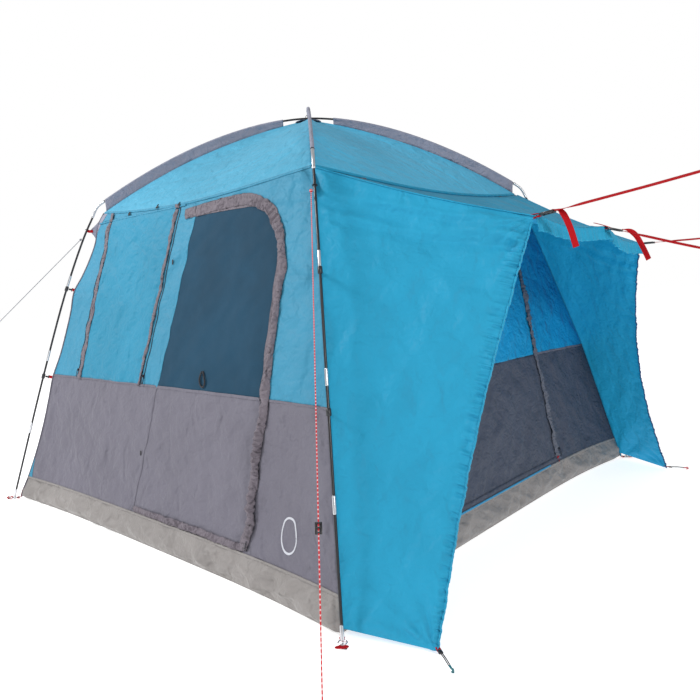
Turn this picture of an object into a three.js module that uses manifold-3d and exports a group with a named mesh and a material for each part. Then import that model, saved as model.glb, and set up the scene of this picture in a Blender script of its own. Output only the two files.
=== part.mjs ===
// A cabin dome tent with a vehicle awning: a square floor tray, four leaning walls, a vaulted roof hung
// under two crossing poles, a hinged front door, a roll-up window cover, and an awning that is strapped to
// a vehicle. Millimetres, +Z up. The awning points along +X and the front door faces -Y. The model stands
// on Z = 0 with its origin under the middle of the tent and awning together.
import * as THREE from 'three';
import { mergeVertices } from 'three/addons/utils/BufferGeometryUtils.js';
import Module from 'manifold-3d';

const wasm = await Module();
wasm.setup();

// ---- Driving dimensions ----
const FABRIC = 3; // nominal thickness of every cloth panel
const GAP = 0.5; // clearance between pieces that meet
const FLOOR_HALF = 1270; // half the floor's side
const LEAN = 0.24; // how far a wall leans inwards per unit of height
const TRAY_TOP = 130; // top of the floor tray's upstand
const SPLIT_Z = 730; // seam between the lower and the upper wall cloth
const EAVE_Z = 1622; // top of the walls
const POLE_R = 5.5; // pole radius
const FERRULE_R = 6.8;
const FERRULE_LENGTH = 60;
const ELBOW = { r: 1243, z: 1690 }; // where a leg meets the arch, on a floor diagonal
const APEX_Z = 2138; // centreline of the arches where they cross
const ARCH_POWER = 1.79; // the arch falls with this power of the distance from the middle
const SLEEVE_DEPTH = 60; // how far the roof hangs below the poles
const SLEEVE_RUN = 250; // distance over which that depth builds up from the apex
const SLEEVE_START = 140; // the arches are bare nearer to the apex than this
const FOOT = { r: 1875, z: 14 }; // bottom of a leg
const AWNING_FRONT = { x: 1659, y: 561, z: 1379 }; // front top corner on the door side
const AWNING_FAR_DROP = 84; // the other front top corner hangs lower by this
const AWNING_MIDDLE = { x: 1698, z: 1353 }; // middle of the awning's front hem
const AWNING_FOOT = { x: 1604, y: 1185 }; // front bottom corner of each awning side
const AWNING_SCOOP = 50; // how far the side's front edge curves back
const WEBBING = { width: 25, thickness: 2 };

const COLORS = {
  wall: 0x5fb4d6, awning: 0x3ba3cf, lower: 0x8b8791, tray: 0xb5b1ac, mesh: 0x35607a,
  pole: 0x24242a, metal: 0xc9ccd0, webbing: 0xd31f30, plastic: 0x1b1c1f, cord: 0xd9a0a4, hook: 0x23666e,
};

// ---- Geometry helpers ----
const V = (x, y, z) => new THREE.Vector3(x, y, z);
const halfAt = (z) => FLOOR_HALF - LEAN * z;
const leanAngle = Math.atan(LEAN);
const archZ = (r) => APEX_Z - (APEX_Z - ELBOW.z) * Math.pow(r / ELBOW.r, ARCH_POWER);
const sleeveDepth = (r) => SLEEVE_DEPTH * (1 - Math.exp(-r / SLEEVE_RUN));
const seamZ = (r) => archZ(r) - sleeveDepth(r);

function closed(points, triangles) {
  const geometry = new THREE.BufferGeometry();
  const numbers = points.flatMap((p) => p.toArray());
  geometry.setAttribute('position', new THREE.Float32BufferAttribute(numbers, 3));
  let volume = 0;
  for (const [a, b, c] of triangles) volume += points[a].dot(points[b].clone().cross(points[c]));
  geometry.setIndex(triangles.flatMap(([a, b, c]) => (volume > 0 ? [a, b, c] : [a, c, b])));
  return geometry;
}

// A plate: an outline of [u, v] points, mapped into space by place(u, v, depth), with depth 0 on the
// outer face and FABRIC on the inner one.
function plate(outline, place, thickness = FABRIC) {
  const flat = outline.map(([u, v]) => new THREE.Vector2(u, v));
  const faces = THREE.ShapeUtils.triangulateShape(flat, []);
  const n = outline.length;
  const points = [0, thickness].flatMap((depth) => outline.map(([u, v]) => place(u, v, depth)));
  const clockwise = THREE.ShapeUtils.isClockWise(flat);
  const sides = outline.flatMap((_, i) => {
    const j = (i + 1) % n;
    return clockwise ? [[i, n + j, j], [i, n + i, n + j]] : [[i, j, n + j], [i, n + j, n + i]];
  });
  const back = faces.map(([a, b, c]) => [n + a, n + b, n + c]);
  const front = faces.map(([a, b, c]) => [a, c, b]);
  return closed(points, [...front, ...back, ...sides]);
}

// A curved panel: a grid of points with a thickness, centred on the grid.
function sheet(rows, thickness = FABRIC) {
  const m = rows.length;
  const n = rows[0].length;
  const at = (i, j) => rows[Math.min(Math.max(i, 0), m - 1)][Math.min(Math.max(j, 0), n - 1)];
  const normal = (i, j) => at(i + 1, j).clone().sub(at(i - 1, j))
    .cross(at(i, j + 1).clone().sub(at(i, j - 1))).normalize();
  const points = [1, -1].flatMap((side) => rows.flatMap((row, i) => row.map((p, j) =>
    p.clone().addScaledVector(normal(i, j), side * thickness / 2))));
  const id = (layer, i, j) => layer * m * n + i * n + j;
  const triangles = [];
  const quad = (a, b, c, d) => triangles.push([a, b, c], [a, c, d]);
  for (let i = 0; i < m - 1; i++) {
    for (let j = 0; j < n - 1; j++) {
      quad(id(0, i, j), id(0, i + 1, j), id(0, i + 1, j + 1), id(0, i, j + 1));
      quad(id(1, i, j), id(1, i, j + 1), id(1, i + 1, j + 1), id(1, i + 1, j));
    }
    quad(id(0, i, 0), id(1, i, 0), id(1, i + 1, 0), id(0, i + 1, 0));
    quad(id(0, i, n - 1), id(0, i + 1, n - 1), id(1, i + 1, n - 1), id(1, i, n - 1));
  }
  for (let j = 0; j < n - 1; j++) {
    quad(id(0, 0, j), id(0, 0, j + 1), id(1, 0, j + 1), id(1, 0, j));
    quad(id(0, m - 1, j), id(1, m - 1, j), id(1, m - 1, j + 1), id(0, m - 1, j + 1));
  }
  return closed(points, triangles);
}

const grid = (m, n, point) => Array.from({ length: m + 1 }, (_, i) =>
  Array.from({ length: n + 1 }, (_, j) => point(i / m, j / n)));

function round(radius, sides) {
  const shape = new THREE.Shape();
  for (let i = 0; i < sides; i++) {
    const turn = (2 * Math.PI * i) / sides;
    shape[i ? 'lineTo' : 'moveTo'](radius * Math.cos(turn), radius * Math.sin(turn));
  }
  return shape;
}

function tube(points, radius, sides, steps) {
  const path = new THREE.CatmullRomCurve3(points, false, 'centripetal');
  return new THREE.ExtrudeGeometry(round(radius, sides), { steps, extrudePath: path, bevelEnabled: false });
}

function rod(from, to, radius, sides = 12) {
  const way = to.clone().sub(from);
  const geometry = new THREE.CylinderGeometry(radius, radius, way.length(), sides);
  geometry.applyQuaternion(new THREE.Quaternion().setFromUnitVectors(V(0, 1, 0), way.clone().normalize()));
  return geometry.translate(...from.clone().addScaledVector(way, 0.5).toArray());
}

function block(size, centre, turn = [0, 0, 0]) {
  const geometry = new THREE.BoxGeometry(...size);
  geometry.applyQuaternion(new THREE.Quaternion().setFromEuler(new THREE.Euler(...turn)));
  return geometry.translate(...centre.toArray());
}

function solid(geometry) {
  const bare = geometry.clone();
  bare.deleteAttribute('normal');
  bare.deleteAttribute('uv');
  const merged = mergeVertices(bare, 1e-3);
  return new wasm.Manifold(new wasm.Mesh({
    numProp: 3,
    vertProperties: new Float32Array(merged.attributes.position.array),
    triVerts: new Uint32Array(merged.index.array),
  }));
}

function geometryOf(manifold) {
  const mesh = manifold.getMesh();
  const geometry = new THREE.BufferGeometry();
  geometry.setAttribute('position', new THREE.BufferAttribute(mesh.vertProperties.slice(), 3));
  geometry.setIndex([...mesh.triVerts]);
  return geometry;
}

const join = (...parts) => geometryOf(parts.map(solid).reduce((a, b) => a.add(b)));
const cut = (body, ...holes) => geometryOf(holes.map(solid).reduce((a, b) => a.subtract(b), solid(body)));

// ---- The scene graph ----
const tent = new THREE.Group();
const QUARTER = Math.PI / 2;
const SIDES = ['front', 'vehicle', 'rear', 'left'].map((name, k) => {
  const group = new THREE.Group();
  group.rotation.z = k * QUARTER;
  tent.add(group);
  return { name, group };
});
const [FRONT, VEHICLE, REAR, LEFT] = SIDES;
const CORNERS = ['left_front', 'right_front', 'right_rear', 'left_rear'].map((name, k) => {
  const group = new THREE.Group(); // its local +X runs out along the floor's diagonal
  group.rotation.z = (k - 1.5) * QUARTER;
  tent.add(group);
  return { name, group };
});

function add(group, name, geometry, color, roughness = 0.85, metalness = 0) {
  const mesh = new THREE.Mesh(geometry, new THREE.MeshStandardMaterial({ color, roughness, metalness }));
  mesh.name = name;
  group.add(mesh);
}

// A point on a wall, seen from outside in its own group: u to the right, z up, depth inwards.
const onWall = (u, z, depth) =>
  V(u, -halfAt(z) + depth * Math.cos(leanAngle), z - depth * Math.sin(leanAngle));
const wall = (outline) => plate(outline, onWall);

// ---- Floor tray ----
const CORNER_GAP = FABRIC + 1.5; // front and rear walls stop short of the side walls
const FLOOR_GAP = 1.2; // the upstands start this far above the floor sheet
add(tent, 'tray_floor', block([2 * FLOOR_HALF, 2 * FLOOR_HALF, FABRIC], V(0, 0, FABRIC / 2)), COLORS.tray);
for (const { name, group } of SIDES) {
  const inset = name === 'front' || name === 'rear' ? CORNER_GAP : 0;
  const low = FABRIC + FLOOR_GAP;
  const outline = [
    [-halfAt(low) + inset, low], [halfAt(low) - inset, low],
    [halfAt(TRAY_TOP) - inset, TRAY_TOP], [-halfAt(TRAY_TOP) + inset, TRAY_TOP]];
  add(group, `tray_upstand_${name}`, wall(outline), COLORS.tray);
}

// ---- Front wall: a door and a covered window ----
const LOWER = [TRAY_TOP + GAP, SPLIT_Z - GAP];
const UPPER = [SPLIT_Z + GAP, EAVE_Z];
const DOOR_BOTTOM = 150;
const DOOR_TOP = 1532;
const DOOR_RIGHT = 735;
const DOOR_ARC = 235; // radius of the door's top right corner
const DOOR_HINGE = [[-127, DOOR_BOTTOM], [112, DOOR_TOP]]; // [x, z] of the hinge line's ends
const WINDOW = { bottom: SPLIT_Z + 4, top: 1590, left: [-800, -695], right: [-192, -40] };
const HEADER_Z = 1596;
const HANGING_GAP = 6; // clearance round panels that open
const line = ([x0, z0], [x1, z1]) => (z) => x0 + ((x1 - x0) * (z - z0)) / (z1 - z0);
const doorLeft = line(...DOOR_HINGE);
const windowLeft = line([WINDOW.left[0], WINDOW.bottom], [WINDOW.left[1], WINDOW.top]);
const windowRight = line([WINDOW.right[0], WINDOW.bottom], [WINDOW.right[1], WINDOW.top]);
const frontEdge = (z) => halfAt(z) - CORNER_GAP;

function doorArc(grow) {
  const steps = 8;
  const centre = [DOOR_RIGHT - DOOR_ARC, DOOR_TOP - DOOR_ARC];
  return Array.from({ length: steps + 1 }, (_, i) => {
    const turn = (QUARTER * i) / steps;
    return [centre[0] + (DOOR_ARC + grow) * Math.cos(turn), centre[1] + (DOOR_ARC + grow) * Math.sin(turn)];
  });
}

const quadBetween = (left, right, [low, high]) =>
  [[left(low), low], [right(low), low], [right(high), high], [left(high), high]];
const doorwayLeft = (z) => doorLeft(z) - HANGING_GAP;
const doorwayRight = () => DOOR_RIGHT + HANGING_GAP;
add(FRONT.group, 'front_wall_lower_left',
  wall(quadBetween((z) => -frontEdge(z), doorwayLeft, LOWER)), COLORS.lower);
add(FRONT.group, 'front_wall_lower_right', wall(quadBetween(doorwayRight, frontEdge, LOWER)), COLORS.lower);
const STRIP = [UPPER[0], HEADER_Z - GAP]; // the upper wall below the header
add(FRONT.group, 'front_wall_upper_left',
  wall(quadBetween((z) => -frontEdge(z), (z) => windowLeft(z) - GAP, STRIP)), COLORS.wall);
add(FRONT.group, 'front_wall_upper_middle',
  wall(quadBetween((z) => windowRight(z) + GAP, doorwayLeft, STRIP)), COLORS.wall);
// The right strip carries the header across the top of the window and round the door's corner.
add(FRONT.group, 'front_wall_upper_right', wall([
  [doorwayRight(), UPPER[0]], ...doorArc(HANGING_GAP),
  [doorwayLeft(DOOR_TOP + HANGING_GAP) + 2 * GAP, DOOR_TOP + HANGING_GAP],
  [doorwayLeft(HEADER_Z) + 2 * GAP, HEADER_Z],
  [-frontEdge(HEADER_Z), HEADER_Z], [-frontEdge(EAVE_Z), EAVE_Z],
  [frontEdge(EAVE_Z), EAVE_Z], [frontEdge(UPPER[0]), UPPER[0]],
]), COLORS.wall);

// The mesh fills the window from behind; its cover hangs in front of it from the cover's top edge.
const COVER_OUT = 4; // the cover lies this far outside the wall's outer face
const COVER_EDGE = 2; // clearance beside the cover
const MESH_EDGE = 1.5; // clearance beside the mesh
const WINDOW_HEIGHTS = [WINDOW.bottom, WINDOW.top];
const outside = (u, z, depth) => onWall(u, z, depth - COVER_OUT - FABRIC);
add(FRONT.group, 'window_mesh',
  wall(quadBetween((z) => windowLeft(z) + MESH_EDGE, (z) => windowRight(z) - MESH_EDGE,
    WINDOW_HEIGHTS)), COLORS.mesh);
add(FRONT.group, 'window_cover',
  plate(quadBetween((z) => windowLeft(z) + COVER_EDGE, (z) => windowRight(z) - COVER_EDGE,
    WINDOW_HEIGHTS), outside), COLORS.awning);
add(FRONT.group, 'door_panel',
  wall(quadBetween(doorLeft, () => DOOR_RIGHT, [DOOR_BOTTOM, LOWER[1]])), COLORS.lower);
add(FRONT.group, 'door_window', wall([
  [DOOR_RIGHT, UPPER[0]], ...doorArc(0), [doorLeft(DOOR_TOP), DOOR_TOP], [doorLeft(UPPER[0]), UPPER[0]],
]), COLORS.mesh);

// ---- Vehicle side wall: one roll-up door between two zips ----
const VEHICLE_DOOR = { half: 600, bottom: 152, top: 1500 };
const doorHalf = () => VEHICLE_DOOR.half;
const vehicleEdge = () => VEHICLE_DOOR.half + HANGING_GAP;
for (const [end, flip] of [['front', -1], ['rear', 1]]) {
  const strip = quadBetween(vehicleEdge, halfAt, [LOWER[0], VEHICLE_DOOR.top + HANGING_GAP - GAP]);
  add(VEHICLE.group, `vehicle_wall_${end}`, wall(strip.map(([u, z]) => [flip * u, z])), COLORS.wall);
}
add(VEHICLE.group, 'vehicle_wall_header',
  wall(quadBetween((z) => -halfAt(z), halfAt, [VEHICLE_DOOR.top + HANGING_GAP, EAVE_Z])), COLORS.wall);
add(VEHICLE.group, 'vehicle_door',
  wall(quadBetween(() => -doorHalf(), doorHalf, [VEHICLE_DOOR.bottom, VEHICLE_DOOR.top])), COLORS.wall);

// ---- Plain rear and left walls ----
for (const { name, group } of [REAR, LEFT]) {
  const edge = name === 'rear' ? frontEdge : halfAt;
  add(group, `${name}_wall`, wall(quadBetween((z) => -edge(z), edge, [LOWER[0], EAVE_Z])), COLORS.wall);
}

// ---- Roof: four vaulted panels that meet along the floor's diagonals ----
const ROOF_EDGE = 6; // each panel stops this far from the diagonal
const ROOF_TOP = 60; // a panel's inner end, from the middle
const ROOF_SAG = 30;
const EAVE_GAP = 1; // clearance between a panel and the top of its wall
const ROOF_BOTTOM = halfAt(EAVE_Z) - EAVE_GAP;
for (const { name, group } of SIDES) {
  add(group, `roof_${name}`, sheet(grid(8, 6, (up, across) => {
    const out = ROOF_BOTTOM + (ROOF_TOP - ROOF_BOTTOM) * up;
    const t = 2 * across - 1;
    const sag = ROOF_SAG * Math.sin(Math.PI * up) * (1 - t * t);
    return V(t * (out - ROOF_EDGE), -out, seamZ(out * Math.SQRT2) - sag + EAVE_GAP);
  })), COLORS.wall);
}

// ---- Poles: two arches, four legs with ferrules, four elbows ----
const ELBOW_TOP = { r: 1196, z: archZ(1196) };
const LEG = [V(FOOT.r, 0, FOOT.z), V(1640, 0, 720), V(1464, 0, 1211), V(1333, 0, 1516), V(1272, 0, 1632)];
// An elbow starts and ends a fraction of a millimetre off the two poles that it meets.
const BEND = [V(1271.7, 0, 1632.6), V(1254, 0, 1668), V(1238, 0, 1690),
  V(ELBOW_TOP.r + 0.7, 0, ELBOW_TOP.z - 0.2)];
const FERRULES_Z = [425, 846, 1273]; // middle of each ferrule on a leg
const legCurve = new THREE.CatmullRomCurve3(LEG, false, 'centripetal');
function onLeg(z) {
  let [low, high] = [0, 1];
  for (let i = 0; i < 30; i++) {
    const middle = (low + high) / 2;
    if (legCurve.getPoint(middle).z < z) low = middle; else high = middle;
  }
  return legCurve.getPoint(low);
}
for (const { name, group } of CORNERS) {
  const ferrules = FERRULES_Z.map((z) =>
    rod(onLeg(z - FERRULE_LENGTH / 2), onLeg(z + FERRULE_LENGTH / 2), FERRULE_R));
  add(group, `leg_${name}`, join(tube(LEG, POLE_R, 8, 24), ...ferrules), COLORS.pole, 0.4, 0.1);
  add(group, `elbow_${name}`, tube(BEND, FERRULE_R, 10, 12), COLORS.metal, 0.3, 0.9);
}
const CROSSING = 2 * POLE_R + 1; // the second arch passes over the first
for (const [k, name, lift] of [[0, 'arch_lower', 0], [1, 'arch_upper', CROSSING]]) {
  const route = [];
  for (let i = -10; i <= 10; i++) {
    const r = (i / 10) * ELBOW_TOP.r;
    route.push(V(r, 0, archZ(Math.abs(r)) + lift * Math.cos((QUARTER * i) / 10)));
  }
  add(CORNERS[k].group, name, tube(route, POLE_R, 8, 40), COLORS.pole, 0.4, 0.1);
}

// A sleeve is a band of cloth from the pole down into the seam between two roof panels.
const SLEEVE_GAP = 1.2; // clearance under the pole
const SLEEVE_END = ELBOW_TOP.r - 12;
const SEAM_DEPTH = 2; // how far the band reaches below the seam
for (const [k, { name, group }] of CORNERS.entries()) {
  const lift = (r) => (k % 2 ? CROSSING * Math.cos((QUARTER * r) / ELBOW_TOP.r) : 0);
  const steps = 10;
  const top = [];
  const bottom = [];
  for (let i = 0; i <= steps; i++) {
    const r = SLEEVE_START + ((SLEEVE_END - SLEEVE_START) * i) / steps;
    top.push([r, archZ(r) - POLE_R - SLEEVE_GAP + lift(r)]);
    bottom.unshift([r, seamZ(r) - SEAM_DEPTH]);
  }
  const band = plate([...top, ...bottom], (r, z, depth) => V(r, depth - FABRIC / 2, z));
  add(group, `sleeve_${name}`, band, COLORS.lower);
}

// ---- Feet: a ring on webbing holds the tray's corner to the pin at the bottom of each leg ----
const RING = { radius: 16, thickness: 5 };
const PIN = [V(1876.4, 0, 2.6), V(1872.8, 0, 13.2)]; // it carries on the line of the leg
const TRAY_CORNER = FLOOR_HALF * Math.SQRT2;
for (const { name, group } of CORNERS) {
  const pin = rod(...PIN, FERRULE_R);
  const ring = new THREE.CylinderGeometry(RING.radius, RING.radius, RING.thickness, 16);
  ring.rotateX(QUARTER);
  ring.translate(FOOT.r, 0, 1 + RING.thickness / 2);
  const strap = block([FOOT.r - TRAY_CORNER - 6, WEBBING.width, WEBBING.thickness],
    V((FOOT.r + TRAY_CORNER + 4) / 2, 0, 3.5));
  add(group, `foot_${name}`, join(pin, ring, strap), COLORS.webbing, 0.7);
}

// ---- Awning: a top and two sides ----
const hemZ = (y) => { // the front hem's height: it rises to the door side and falls to the other
  const t = y / AWNING_FRONT.y;
  const ends = [AWNING_FRONT.z, AWNING_FRONT.z - AWNING_FAR_DROP];
  return AWNING_MIDDLE.z * (1 - t * t) + (ends[0] * t * (t - 1) + ends[1] * t * (t + 1)) / 2;
};
const hemX = (y) => AWNING_MIDDLE.x - (AWNING_MIDDLE.x - AWNING_FRONT.x) * (y / AWNING_FRONT.y) ** 2;
const RIDGE_BACK = { half: 878, x: 893, z: 1640 };
const TOP_INSET = 4;
const BACK_SAG = 9; // the top's back edge droops with the roof
add(tent, 'awning_top', sheet(grid(6, 8, (out, across) => {
  const t = 2 * across - 1;
  const front = V(hemX(t * AWNING_FRONT.y), t * (AWNING_FRONT.y - TOP_INSET), hemZ(t * AWNING_FRONT.y));
  const back = V(RIDGE_BACK.x, t * (RIDGE_BACK.half - TOP_INSET),
    RIDGE_BACK.z - BACK_SAG * (1 - t * t));
  return back.lerp(front, out);
})), COLORS.awning);
const SIDE_LOW = 6;
const SIDE_GAP = { back: 14, front: 6 }; // a side stops this far below the awning's top
const CORNER_OUT = 8; // the sides start this far outside the tent's corner
for (const [name, way] of [['front', -1], ['rear', 1]]) {
  const top = hemZ(way * AWNING_FRONT.y) - SIDE_GAP.front;
  add(tent, `awning_side_${name}`, sheet(grid(8, 8, (up, out) => {
    const backZ = SIDE_LOW + (RIDGE_BACK.z - SIDE_GAP.back - SIDE_LOW) * up;
    const back = V(halfAt(backZ) + CORNER_OUT, way * (halfAt(backZ) + CORNER_OUT), backZ);
    const front = V(
      THREE.MathUtils.lerp(AWNING_FOOT.x, AWNING_FRONT.x, up) - AWNING_SCOOP * Math.sin(Math.PI * up),
      way * THREE.MathUtils.lerp(AWNING_FOOT.y, AWNING_FRONT.y + 2, up),
      THREE.MathUtils.lerp(SIDE_LOW, top, up));
    return back.lerp(front, out);
  })), COLORS.awning);
  // A shock-cord loop and its hook at the bottom corner of each side.
  const corner = V(AWNING_FOOT.x + 6, way * (AWNING_FOOT.y + 4), 16);
  const end = V(AWNING_FOOT.x + 85, way * (AWNING_FOOT.y + 55), 12);
  const hook = block([26, 12, 12], end, [0, 0, way * 0.55]);
  add(tent, `awning_hook_${name}`, join(rod(corner, end, 2.5, 8), hook), COLORS.hook, 0.5);
}

// ---- Awning straps: each leaves a buckle on the front hem and is pulled taut by the vehicle ----
// Each strap is a list of centreline points from its buckle to the sewn loop at its end.
const STRAPS = {
  front: {
    hem: V(1664, -555, 1380),
    route: [V(1738, -560, 1390), V(2020, -560, 1429), V(2300, -560, 1468)],
  },
  middle: { hem: V(1702, 0, 1351), route: [V(1778, 0, 1329), V(1960, 0, 1271), V(2150, 0, 1211)] },
  rear: { hem: V(1657, 555, 1294), route: [V(1733, 560, 1295), V(1880, 560, 1296), V(2030, 560, 1297)] },
};
// The sewn loop at a strap's far end is a closed ring of steps.
const LOOP = { length: 60, rise: 9, steps: 13, first: 0.6, closing: 0.2, gap: 6 };
const BUCKLE = { width: 34, thickness: 7, span: [0.12, 0.97], gap: 3 }; // span: shares of hem to strap
for (const [name, { hem, route }] of Object.entries(STRAPS)) {
  const end = route[route.length - 1];
  const along = end.clone().sub(route[route.length - 2]).normalize();
  const up = V(0, 1, 0).cross(along).negate();
  const loop = Array.from({ length: LOOP.steps }, (_, i) => {
    const turn = (2 * Math.PI * (i + LOOP.first)) / (LOOP.steps + LOOP.closing);
    return end.clone().addScaledVector(along, (LOOP.length / 2) * (1 - Math.cos(turn)) + LOOP.gap)
      .addScaledVector(up, -LOOP.rise * Math.sin(turn));
  });
  const points = [...route, ...loop];
  const across = V(0, WEBBING.width / 2, 0);
  const rows = points.map((p) => [p.clone().sub(across), p.clone().add(across)]);
  add(tent, `strap_${name}`, sheet(rows, WEBBING.thickness), COLORS.webbing, 0.7);
  const [start, stop] = BUCKLE.span.map((share) => hem.clone().lerp(route[0], share));
  const tilt = Math.atan2(start.z - stop.z, stop.x - start.x);
  const size = [start.distanceTo(stop) - BUCKLE.gap, BUCKLE.width, BUCKLE.thickness];
  const centre = start.clone().add(stop).multiplyScalar(0.5);
  add(tent, `buckle_${name}`, block(size, centre, [0, tilt, 0]), COLORS.plastic, 0.45);
}

// ---- Guylines: one cord off each front leg, taut to a peg, with a runner on the right one ----
const GUY_R = 2;
const RUNNER = { length: 34, width: 14, thickness: 9, slack: 0.6, share: 0.649 };
const GUYLINES = {
  right: [V(916, -938, 1545), V(1926, -2028, 14)],
  left: [V(-952, -952, 1512), V(-1360, -1360, 998)],
};
for (const [name, [from, to]] of Object.entries(GUYLINES)) {
  add(tent, `guyline_${name}`, rod(from, to, GUY_R, 8), COLORS.cord, 0.8);
}
const [guyStart, guyEnd] = GUYLINES.right;
const runnerAt = guyStart.clone().lerp(guyEnd, RUNNER.share);
const guyWay = guyEnd.clone().sub(guyStart).normalize();
const runnerBody = block([RUNNER.width, RUNNER.length, RUNNER.thickness], V(0, 0, 0))
  .applyQuaternion(new THREE.Quaternion().setFromUnitVectors(V(0, 1, 0), guyWay))
  .translate(...runnerAt.toArray());
const runnerBore = rod(runnerAt.clone().addScaledVector(guyWay, -RUNNER.length),
  runnerAt.clone().addScaledVector(guyWay, RUNNER.length), GUY_R + RUNNER.slack);
add(tent, 'guyline_runner', cut(runnerBody, runnerBore), COLORS.plastic, 0.45);

// ---- Zip sliders: each runs up its zip, which lies beside the flap on the outer face of the wall ----
const SLIDER = { size: [9, 5, 14], pull: [5, 2.4, 34], pullDrop: 22, out: 12, start: 45 };
const ZIP_ASIDE = { door: 14, window: 32, vehicle: 34 }; // from the edge of the opening to its zip
function slider(name, group, u, z) {
  const body = block(SLIDER.size, onWall(u, z, -SLIDER.out), [-leanAngle, 0, 0]);
  const pull = block(SLIDER.pull, onWall(u, z - SLIDER.pullDrop, -SLIDER.out), [-leanAngle, 0, 0]);
  add(group, name, join(body, pull), COLORS.plastic, 0.4, 0.3);
}
const ZIP_Z = SPLIT_Z + SLIDER.start;
slider('zip_slider_window_left', FRONT.group, windowLeft(ZIP_Z) - ZIP_ASIDE.window, ZIP_Z);
slider('zip_slider_window_right', FRONT.group, windowRight(ZIP_Z) + ZIP_ASIDE.window, ZIP_Z);
slider('zip_slider_door', FRONT.group, DOOR_RIGHT + ZIP_ASIDE.door, DOOR_BOTTOM + SLIDER.start);
slider('zip_slider_vehicle_door', VEHICLE.group,
  vehicleEdge() + ZIP_ASIDE.vehicle, VEHICLE_DOOR.bottom + SLIDER.start);

// ---- The origin goes under the middle of everything but the straps and guylines ----
const ON_CORDS = /^(strap|guyline)_/;
const body = new THREE.Box3();
tent.updateMatrixWorld(true);
tent.traverse((mesh) => mesh.isMesh && !ON_CORDS.test(mesh.name) && body.expandByObject(mesh, true));
tent.position.x = -(body.min.x + body.max.x) / 2;

export default tent;
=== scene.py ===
"""The looks of a cabin tent with a vehicle awning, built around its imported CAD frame.

Everything is in metres. A "tent point" has its origin on the ground under the middle of the tent's floor,
and at() moves it into the row frame. A wall is drawn in its own view from outside, u to the right and z up;
sides 0 to 3 are the front, the vehicle side, the rear and the left, a quarter turn apart.
"""
import math

import bpy
import numpy as np
from mathutils import Matrix, Vector


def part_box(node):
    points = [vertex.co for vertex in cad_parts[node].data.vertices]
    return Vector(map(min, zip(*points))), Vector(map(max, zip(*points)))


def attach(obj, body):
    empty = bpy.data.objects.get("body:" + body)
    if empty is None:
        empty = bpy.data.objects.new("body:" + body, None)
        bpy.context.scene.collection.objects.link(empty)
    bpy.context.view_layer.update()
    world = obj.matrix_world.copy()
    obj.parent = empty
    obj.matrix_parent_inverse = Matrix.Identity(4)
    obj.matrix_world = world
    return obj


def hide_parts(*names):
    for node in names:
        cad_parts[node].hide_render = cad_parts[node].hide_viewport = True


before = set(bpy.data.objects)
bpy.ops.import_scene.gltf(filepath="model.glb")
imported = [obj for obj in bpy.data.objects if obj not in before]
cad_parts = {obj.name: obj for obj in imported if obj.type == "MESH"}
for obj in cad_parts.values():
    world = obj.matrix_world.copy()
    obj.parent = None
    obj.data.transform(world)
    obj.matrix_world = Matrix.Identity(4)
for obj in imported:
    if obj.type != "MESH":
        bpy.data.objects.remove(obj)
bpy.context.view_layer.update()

# ---- Sizes, in metres ----
tray_low, tray_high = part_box("tray_floor")
SHIFT = np.array([(tray_low.x + tray_high.x) / 2, 0.0, 0.0])  # from tent points to the row frame
FRONT, VEHICLE, REAR, LEFT = range(4)
SIDES = ("front", "vehicle", "rear", "left")
CORNERS = ("left_front", "right_front", "right_rear", "left_rear")
CLOTH = 0.0012
POLE_R = 0.0055
FERRULE_R = 0.0068
ELBOW_R, ELBOW_Z = 1.243, 1.690
ELBOW_TOP_R = 1.196
APEX_Z = 2.138
ARCH_POWER = 1.79
CROSSING = 0.012  # the second arch passes this far over the first
SLEEVE_R = 0.0085
WEBBING_WIDTH, WEBBING_THICKNESS = 0.025, 0.0018
RUNNER_SHARE = 0.649  # how far along the right guyline its runner sits
SPLIT_Z = 0.730
TRAY_TOP = 0.128
LOW_EDGE = TRAY_TOP - 0.006  # the walls' cloth reaches down to here, behind the tray's top
EAVE_HALF = 0.8485  # half the body's width at its top corners
EAVE_DIP = 0.053  # the eave hangs this far below its corners in its middle
DOOR_BOTTOM, DOOR_TOP, DOOR_RIGHT, DOOR_ARC = 0.150, 1.532, 0.735, 0.235
WINDOW_LOW, WINDOW_MIDDLE, WINDOW_HIGH = 0.734, 1.16, 1.590
WINDOW_ZIP_ASIDE = 0.032  # from the window's edge to its zip
WINDOW_SLIDER_Z = 0.775
VEHICLE_DOOR = {"half": 0.600, "low": 0.152, "high": 1.500}
HANGING_GAP = 0.006


# ---- Numbers that vary smoothly: one table of random slopes for each seed ----
TABLES = {}


def noise(x, y, seed):
    """Smooth noise of about -1 to 1, with one bump to a unit."""
    if seed not in TABLES:
        turns = np.random.default_rng(seed).uniform(0, 2 * math.pi, (64, 64))
        TABLES[seed] = np.stack([np.cos(turns), np.sin(turns)], -1)
    slopes = TABLES[seed]
    x, y = np.broadcast_arrays(np.asarray(x, float), np.asarray(y, float))
    x0, y0 = np.floor(x).astype(int), np.floor(y).astype(int)
    fx, fy = x - x0, y - y0

    def ease(t):
        return t * t * t * (t * (6 * t - 15) + 10)

    def corner(i, j):
        slope = slopes[(x0 + i) % 64, (y0 + j) % 64]
        return slope[..., 0] * (fx - i) + slope[..., 1] * (fy - j)

    low = corner(0, 0) * (1 - ease(fx)) + corner(1, 0) * ease(fx)
    high = corner(0, 1) * (1 - ease(fx)) + corner(1, 1) * ease(fx)
    return 1.6 * (low * (1 - ease(fy)) + high * ease(fy))


def folds(u, v, turn, across, along, seed):
    """Long soft folds: turn is their direction in degrees from u, across and along are their sizes."""
    c, s = math.cos(math.radians(turn)), math.sin(math.radians(turn))
    return noise((v * c - u * s) / across, (u * c + v * s) / along, seed)


def creases(u, v, turn, across, along, seed):
    """Like folds, with sharp crests."""
    return 0.6 - 1.6 * np.abs(folds(u, v, turn, across, along, seed)) ** 0.8


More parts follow.
